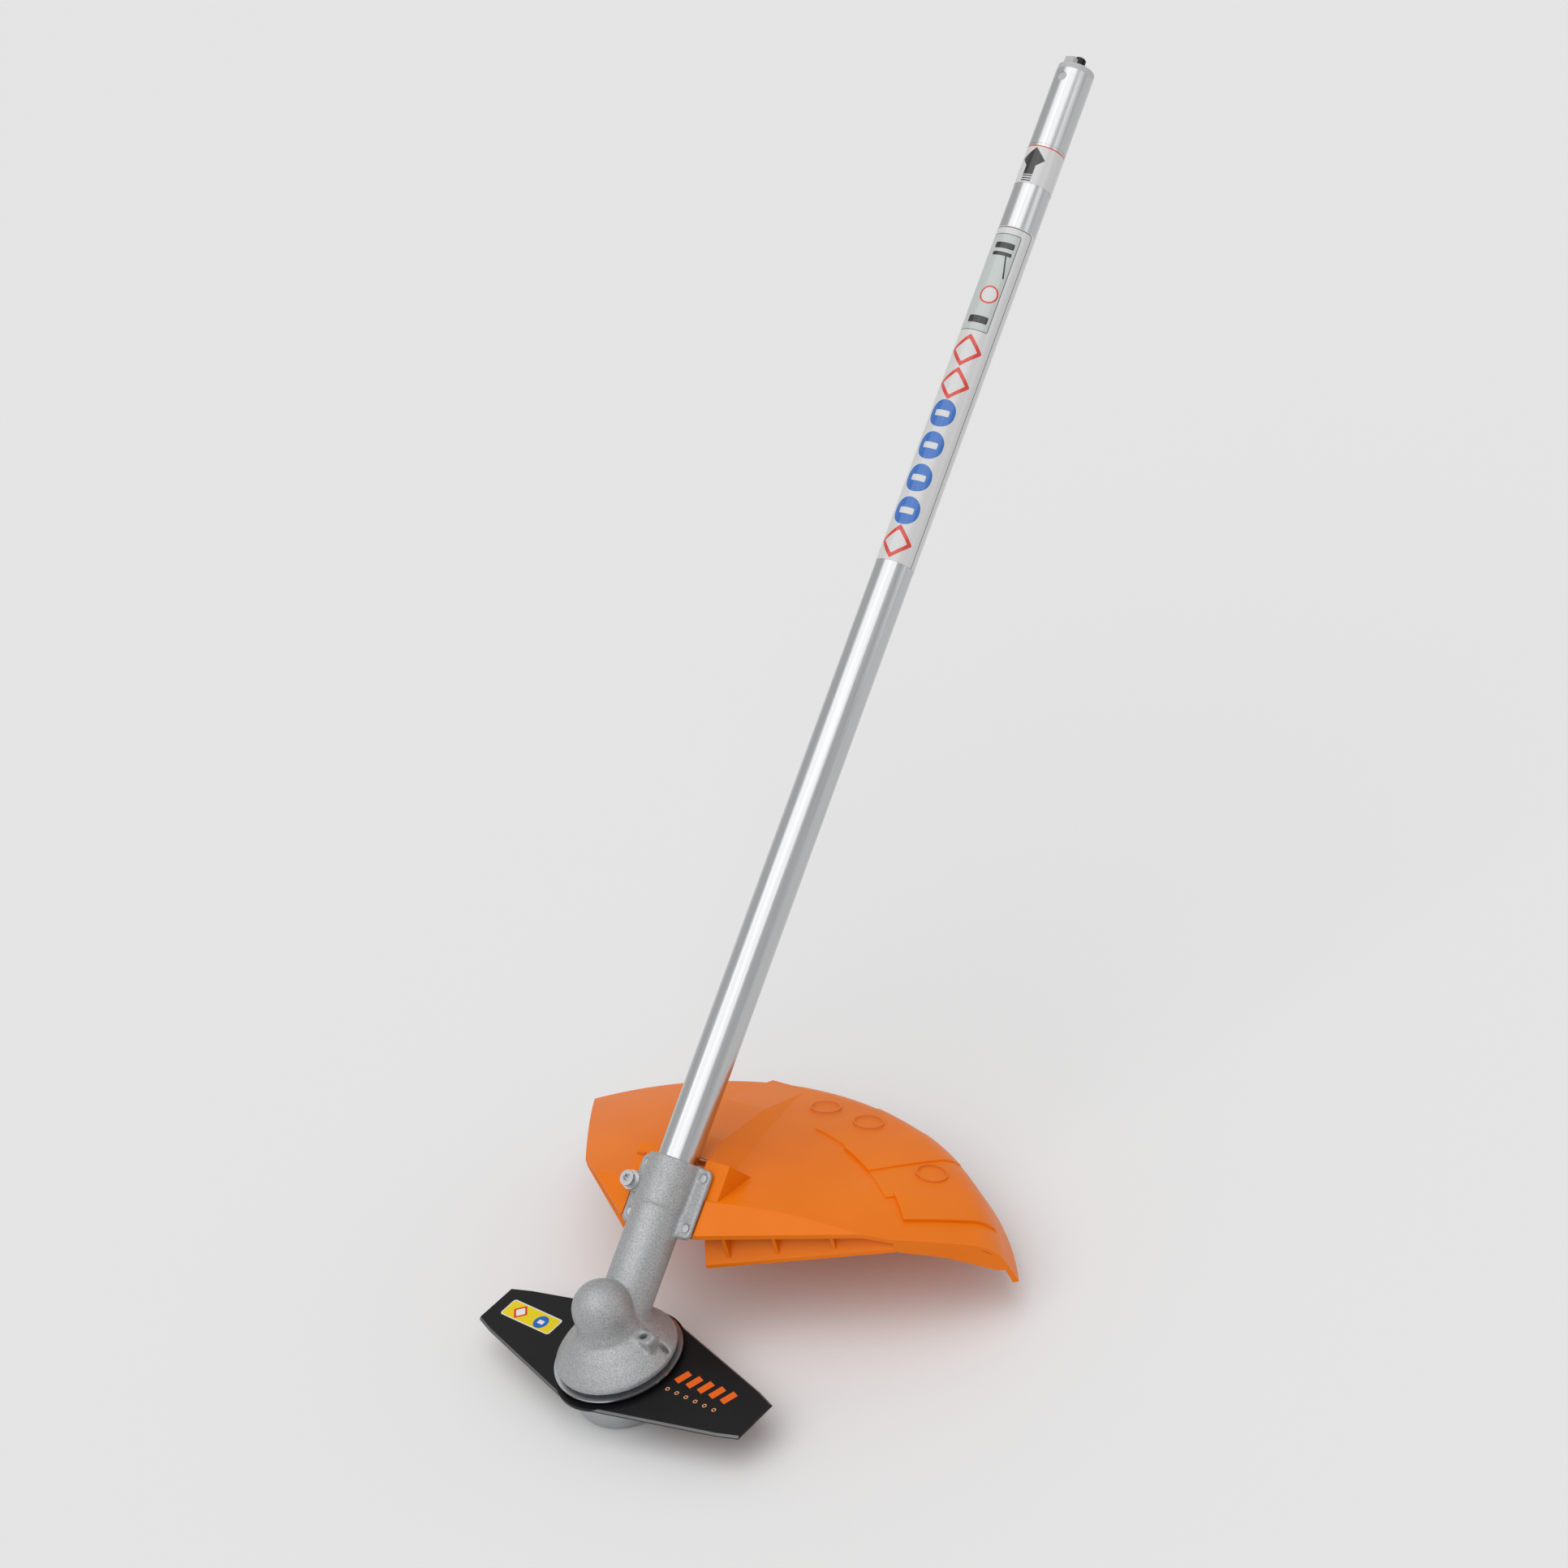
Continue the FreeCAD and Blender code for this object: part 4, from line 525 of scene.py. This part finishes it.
# %% Finish: blade
def blade_finish():
    finish, tree, shader, where = start_finish("blade_lacquer", BLADE_PLACE)
    flat = add(tree, "ShaderNodeVectorMath", {0: where, "Scale": 1000.0}, operation="SCALE").outputs["Vector"]
    spots = add(tree, "ShaderNodeSeparateXYZ", {"Vector": flat}).outputs
    x, y = spots["X"], spots["Y"]
    tone = use(tree, grain, Vector=where, Fine_Scale=1800.0, Broad_Scale=30.0)
    orange, yellow, pale = (0.80, 0.13, 0.01), (0.80, 0.62, 0.01), (0.78, 0.36, 0.16)
    ink = blend_colours(tree, tone["Broad"], (0.006, 0.006, 0.007), (0.011, 0.011, 0.012))
    ink = stamp(tree, ink, x, y, (-82, 1.2), (22.4, 7.2), (0.75, 0.74, 0.7), corner=2.2)
    ink = stamp(tree, ink, x, y, (-82, 1.2), (21.6, 6.4), yellow, corner=1.8)
    ink = stamp(tree, ink, x, y, (-92, 1.2), (4.4, 4.4), INK_RED, corner=0.6, turn=45)
    ink = stamp(tree, ink, x, y, (-92, 1.2), (3.0, 3.0), (0.8, 0.79, 0.76), corner=0.4, turn=45)
    ink = stamp(tree, ink, x, y, (-72.5, 0.6), (5.4, 5.4), INK_BLUE, corner=5.4)
    ink = stamp(tree, ink, x, y, (-72.5, 0.6), (2.4, 1.6), (0.8, 0.79, 0.76), corner=0.4)
    for index in range(5):
        ink = stamp(tree, ink, x, y, (48 + 9.6 * index, 6.8), (2.7, 5.0), orange, corner=0.4, turn=18)
    for index in range(6):
        ink = stamp(tree, ink, x, y, (46 + 7.8 * index, -5.2), (1.5, 1.5), pale, corner=1.5, border=0.6)
    slope = add(tree, "ShaderNodeSeparateXYZ", {"Vector": add(tree, "ShaderNodeTexCoord").outputs["Normal"]})
    level = sum_of(tree, "ABSOLUTE", slope.outputs["Z"])
    tilted = sum_of(tree, "GREATER_THAN", level, 0.3)
    not_flat = sum_of(tree, "LESS_THAN", level, 0.95)
    bare = sum_of(tree, "MULTIPLY", tilted, not_flat)
    ink = blend_colours(tree, bare, ink, (0.20, 0.20, 0.205))
    feed(tree, shader, Base_Color=ink, Metallic=bare, Roughness=spread(tree, tone["Broad"], 0.30, 0.40),
         Specular_IOR_Level=0.18)
    raise_bumps(tree, shader, tone["Fine"], 0.06, 0.0001)
    return finish


FINISHES["blade_steel"] = blade_finish()
print("blade finish:", len(FINISHES["blade_steel"].node_tree.nodes), "nodes")

# %% [markdown]
# Now every part of the model gets the finish of its slot in the record. The meshes stay as they are:
# only the material slot changes.

# %% Give the finishes to the parts
for subpart in frame["record"]["subparts"]:
    part = frame["nodes"][subpart["node"]]
    finish = FINISHES[subpart["material_slot"]]
    if subpart["node"] == "arrow_label":
        finish = SHORT_LABEL
    if not part.data.materials:
        part.data.materials.append(finish)
    for index in range(len(part.material_slots)):
        part.material_slots[index].material = finish

# %% [markdown]
# A gearbox casting has no sharp inner corners: the dome, the neck and the skirt flow into each other,
# because molten metal and the tool need rounded paths. Filleting such a shape in the engineering
# model is fragile, so the soft casting is made from it here. A copy of the mesh is welded, rebuilt
# from small even cells, and smoothed, and it takes the hard-edged part's place.

# %% Soft casting
def alone(item):
    """Select one object and make it active."""
    bpy.ops.object.select_all(action="DESELECT")
    item.select_set(True)
    bpy.context.view_layer.objects.active = item


def keep(item, body):
    """Put the piece's place in its mesh, and let it ride on a body."""
    alone(item)
    bpy.ops.object.transform_apply(location=True, rotation=True, scale=True)
    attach(item, body)
    print("%s: %d faces" % (item.name, len(item.data.polygons)))


hard = frame["nodes"]["gearbox_housing"]
casting = hard.copy()
casting.data = hard.data.copy()
casting.name = "soft_casting"
casting.parent = None
casting.matrix_world = hard.matrix_world.copy()
bpy.context.scene.collection.objects.link(casting)
alone(casting)
bpy.ops.object.mode_set(mode="EDIT")
bpy.ops.mesh.select_all(action="SELECT")
bpy.ops.mesh.remove_doubles(threshold=1e-6)
bpy.ops.object.mode_set(mode="OBJECT")
cells = casting.modifiers.new("cells", "REMESH")
cells.mode = "VOXEL"
cells.voxel_size = 0.85 * MM
bpy.ops.object.modifier_apply(modifier="cells")
soften = casting.modifiers.new("soften", "SMOOTH")
soften.factor = 0.5
soften.iterations = 16
bpy.ops.object.modifier_apply(modifier="soften")
bpy.ops.object.shade_smooth()
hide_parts("gearbox_housing")
keep(casting, "frame")

# %% [markdown]
# The guard's wide top is stiffened by four raised panels that fan out along its rim, by turns a
# little lower and higher. The top is a turned surface, so a panel is too: a profile is drawn by
# extruding a point along the guard's own curve, and spun a few degrees about the arbor. A wall
# thickness and a small bevel turn the sheet into a moulded step.

# %% Curve of the guard's top
RIM = 248.0


def arc_height(radius, low, crest, high):
    """Height at a radius on the circle through three (radius, height) points."""
    (x1, y1), (x2, y2), (x3, y3) = low, crest, high
    across = 2 * (x1 * (y2 - y3) + x2 * (y3 - y1) + x3 * (y1 - y2))
    s1, s2, s3 = x1 * x1 + y1 * y1, x2 * x2 + y2 * y2, x3 * x3 + y3 * y3
    cx = (s1 * (y2 - y3) + s2 * (y3 - y1) + s3 * (y1 - y2)) / across
    cy = (s1 * (x3 - x2) + s2 * (x1 - x3) + s3 * (x2 - x1)) / across
    return cy + math.sqrt((x1 - cx) ** 2 + (y1 - cy) ** 2 - (radius - cx) ** 2)


def top_height(radius):
    """Height of the guard's top over the blade, in millimetres, at a radius from the arbor."""
    if radius <= RIM - 18:
        return arc_height(radius, (0, 78), (RIM - 108, 59), (RIM - 18, 29))
    return arc_height(radius, (RIM - 18, 29), (RIM - 9.5, 22.5), (RIM - 5, 14))


def over_guard(radius, azimuth, lift=0.0):
    """A point over the guard's top, in metres in the row frame."""
    turn = math.radians(azimuth)
    height = top_height(radius) + lift
    return ARBOR + Vector((radius * math.cos(turn), radius * math.sin(turn), height)) * MM


print("top of the guard at 60, 150 and 230 mm:", [round(top_height(r), 1) for r in (60, 150, 230)])

# %% [markdown]
# The profile follows the curve a little above it and bends down at both ends, so that the panel's
# edge dives into the guard instead of floating over it.

# %% Raised panels
def draw_profile(name, points):
    """A chain of edges through points, made by extruding a single vertex."""
    bpy.ops.object.select_all(action="DESELECT")
    bpy.ops.mesh.primitive_plane_add(size=0.001, location=points[0])
    piece = bpy.context.object
    piece.name = name
    bpy.ops.object.transform_apply(location=True, rotation=True, scale=True)
    bpy.ops.object.mode_set(mode="EDIT")
    bpy.ops.mesh.select_all(action="SELECT")
    bpy.ops.mesh.merge(type="CENTER")
    for here, there in zip(points, points[1:]):
        bpy.ops.mesh.extrude_region_move(TRANSFORM_OT_translate={"value": there - here})
    return piece


def panel(name, start, sweep, inner, lift):
    """A raised sector of the guard, from an inner radius to the rim.

    It starts at an azimuth, and the spin carries it sweep degrees clockwise, seen from above."""
    outer = RIM - 6.5
    steps = 14
    radii = [inner + (outer - inner) * index / steps for index in range(steps + 1)]
    points = [over_guard(inner - 1.2, start, -1.5)]
    points += [over_guard(radius, start, lift) for radius in radii]
    points += [over_guard(RIM - 5.5, start, -3.0)]
    piece = draw_profile(name, points)
    bpy.ops.mesh.select_all(action="SELECT")
    bpy.ops.mesh.spin(steps=16, angle=math.radians(sweep), center=ARBOR, axis=(0, 0, 1))
    bpy.ops.mesh.select_all(action="SELECT")
    bpy.ops.mesh.remove_doubles(threshold=1e-6)
    bpy.ops.mesh.normals_make_consistent(inside=False)
    bpy.ops.object.mode_set(mode="OBJECT")
    if sum(face.normal.z for face in piece.data.polygons) < 0:
        piece.data.flip_normals()
    wall = piece.modifiers.new("wall", "SOLIDIFY")
    wall.thickness = 3.2 * MM
    wall.offset = -1
    edge = piece.modifiers.new("edge", "BEVEL")
    edge.width = 0.7 * MM
    edge.segments = 3
    edge.limit_method = "ANGLE"
    edge.angle_limit = math.radians(35)
    alone(piece)
    bpy.ops.object.modifier_apply(modifier="wall")
    bpy.ops.object.modifier_apply(modifier="edge")
    bpy.ops.object.shade_smooth_by_angle(angle=math.radians(40))
    piece.data.materials.append(FINISHES["guard_plastic"])
    keep(piece, "frame")


PANELS = [
    ("guard_panel_1", -9.5, 11.9, 186.0, 1.2),
    ("guard_panel_2", -19.5, 10.0, 184.0, 2.4),
    ("guard_panel_3", -29.0, 9.5, 184.0, 1.2),
    ("guard_panel_4", -37.5, 8.5, 190.0, 2.4),
]
for name, start, sweep, inner, lift in PANELS:
    panel(name, start, sweep, inner, lift)

# %% [markdown]
# Plain rings, twenty millimetres across, stand in a row near the rim. Each starts as a torus at the
# height of the guard's curve and a lift. It is tilted to the slope there, and flattened.

# %% Embossed rings
BEAD_RADIUS = 9.5


def bead(name, radius, azimuth, lift):
    """A flat ring over the guard's top."""
    place = over_guard(radius, azimuth, lift)
    slope = math.atan2(top_height(radius - 1) - top_height(radius + 1), 2)
    turn = math.radians(azimuth)
    bpy.ops.object.select_all(action="DESELECT")
    bpy.ops.mesh.primitive_torus_add(major_radius=BEAD_RADIUS * MM, minor_radius=0.55 * MM,
                                     major_segments=72, minor_segments=10, location=place,
                                     rotation=(0, slope, turn))
    ring = bpy.context.object
    ring.name = name
    bpy.ops.object.mode_set(mode="EDIT")
    bpy.ops.mesh.select_all(action="SELECT")
    bpy.ops.transform.resize(value=(1, 1, 0.6), orient_type="LOCAL", center_override=place)
    bpy.ops.object.mode_set(mode="OBJECT")
    bpy.ops.object.shade_smooth()
    ring.data.materials.append(FINISHES["guard_plastic"])
    keep(ring, "frame")


RINGS = [
    ("guard_bead_1", 213.0, -4.0, 1.2),
    ("guard_bead_2", 216.0, -13.8, 2.4),
    ("guard_bead_3", 217.0, -24.0, 1.2),
    ("guard_bead_4", 219.0, -33.0, 2.4),
]
for name, radius, azimuth, lift in RINGS:
    bead(name, radius, azimuth, lift)
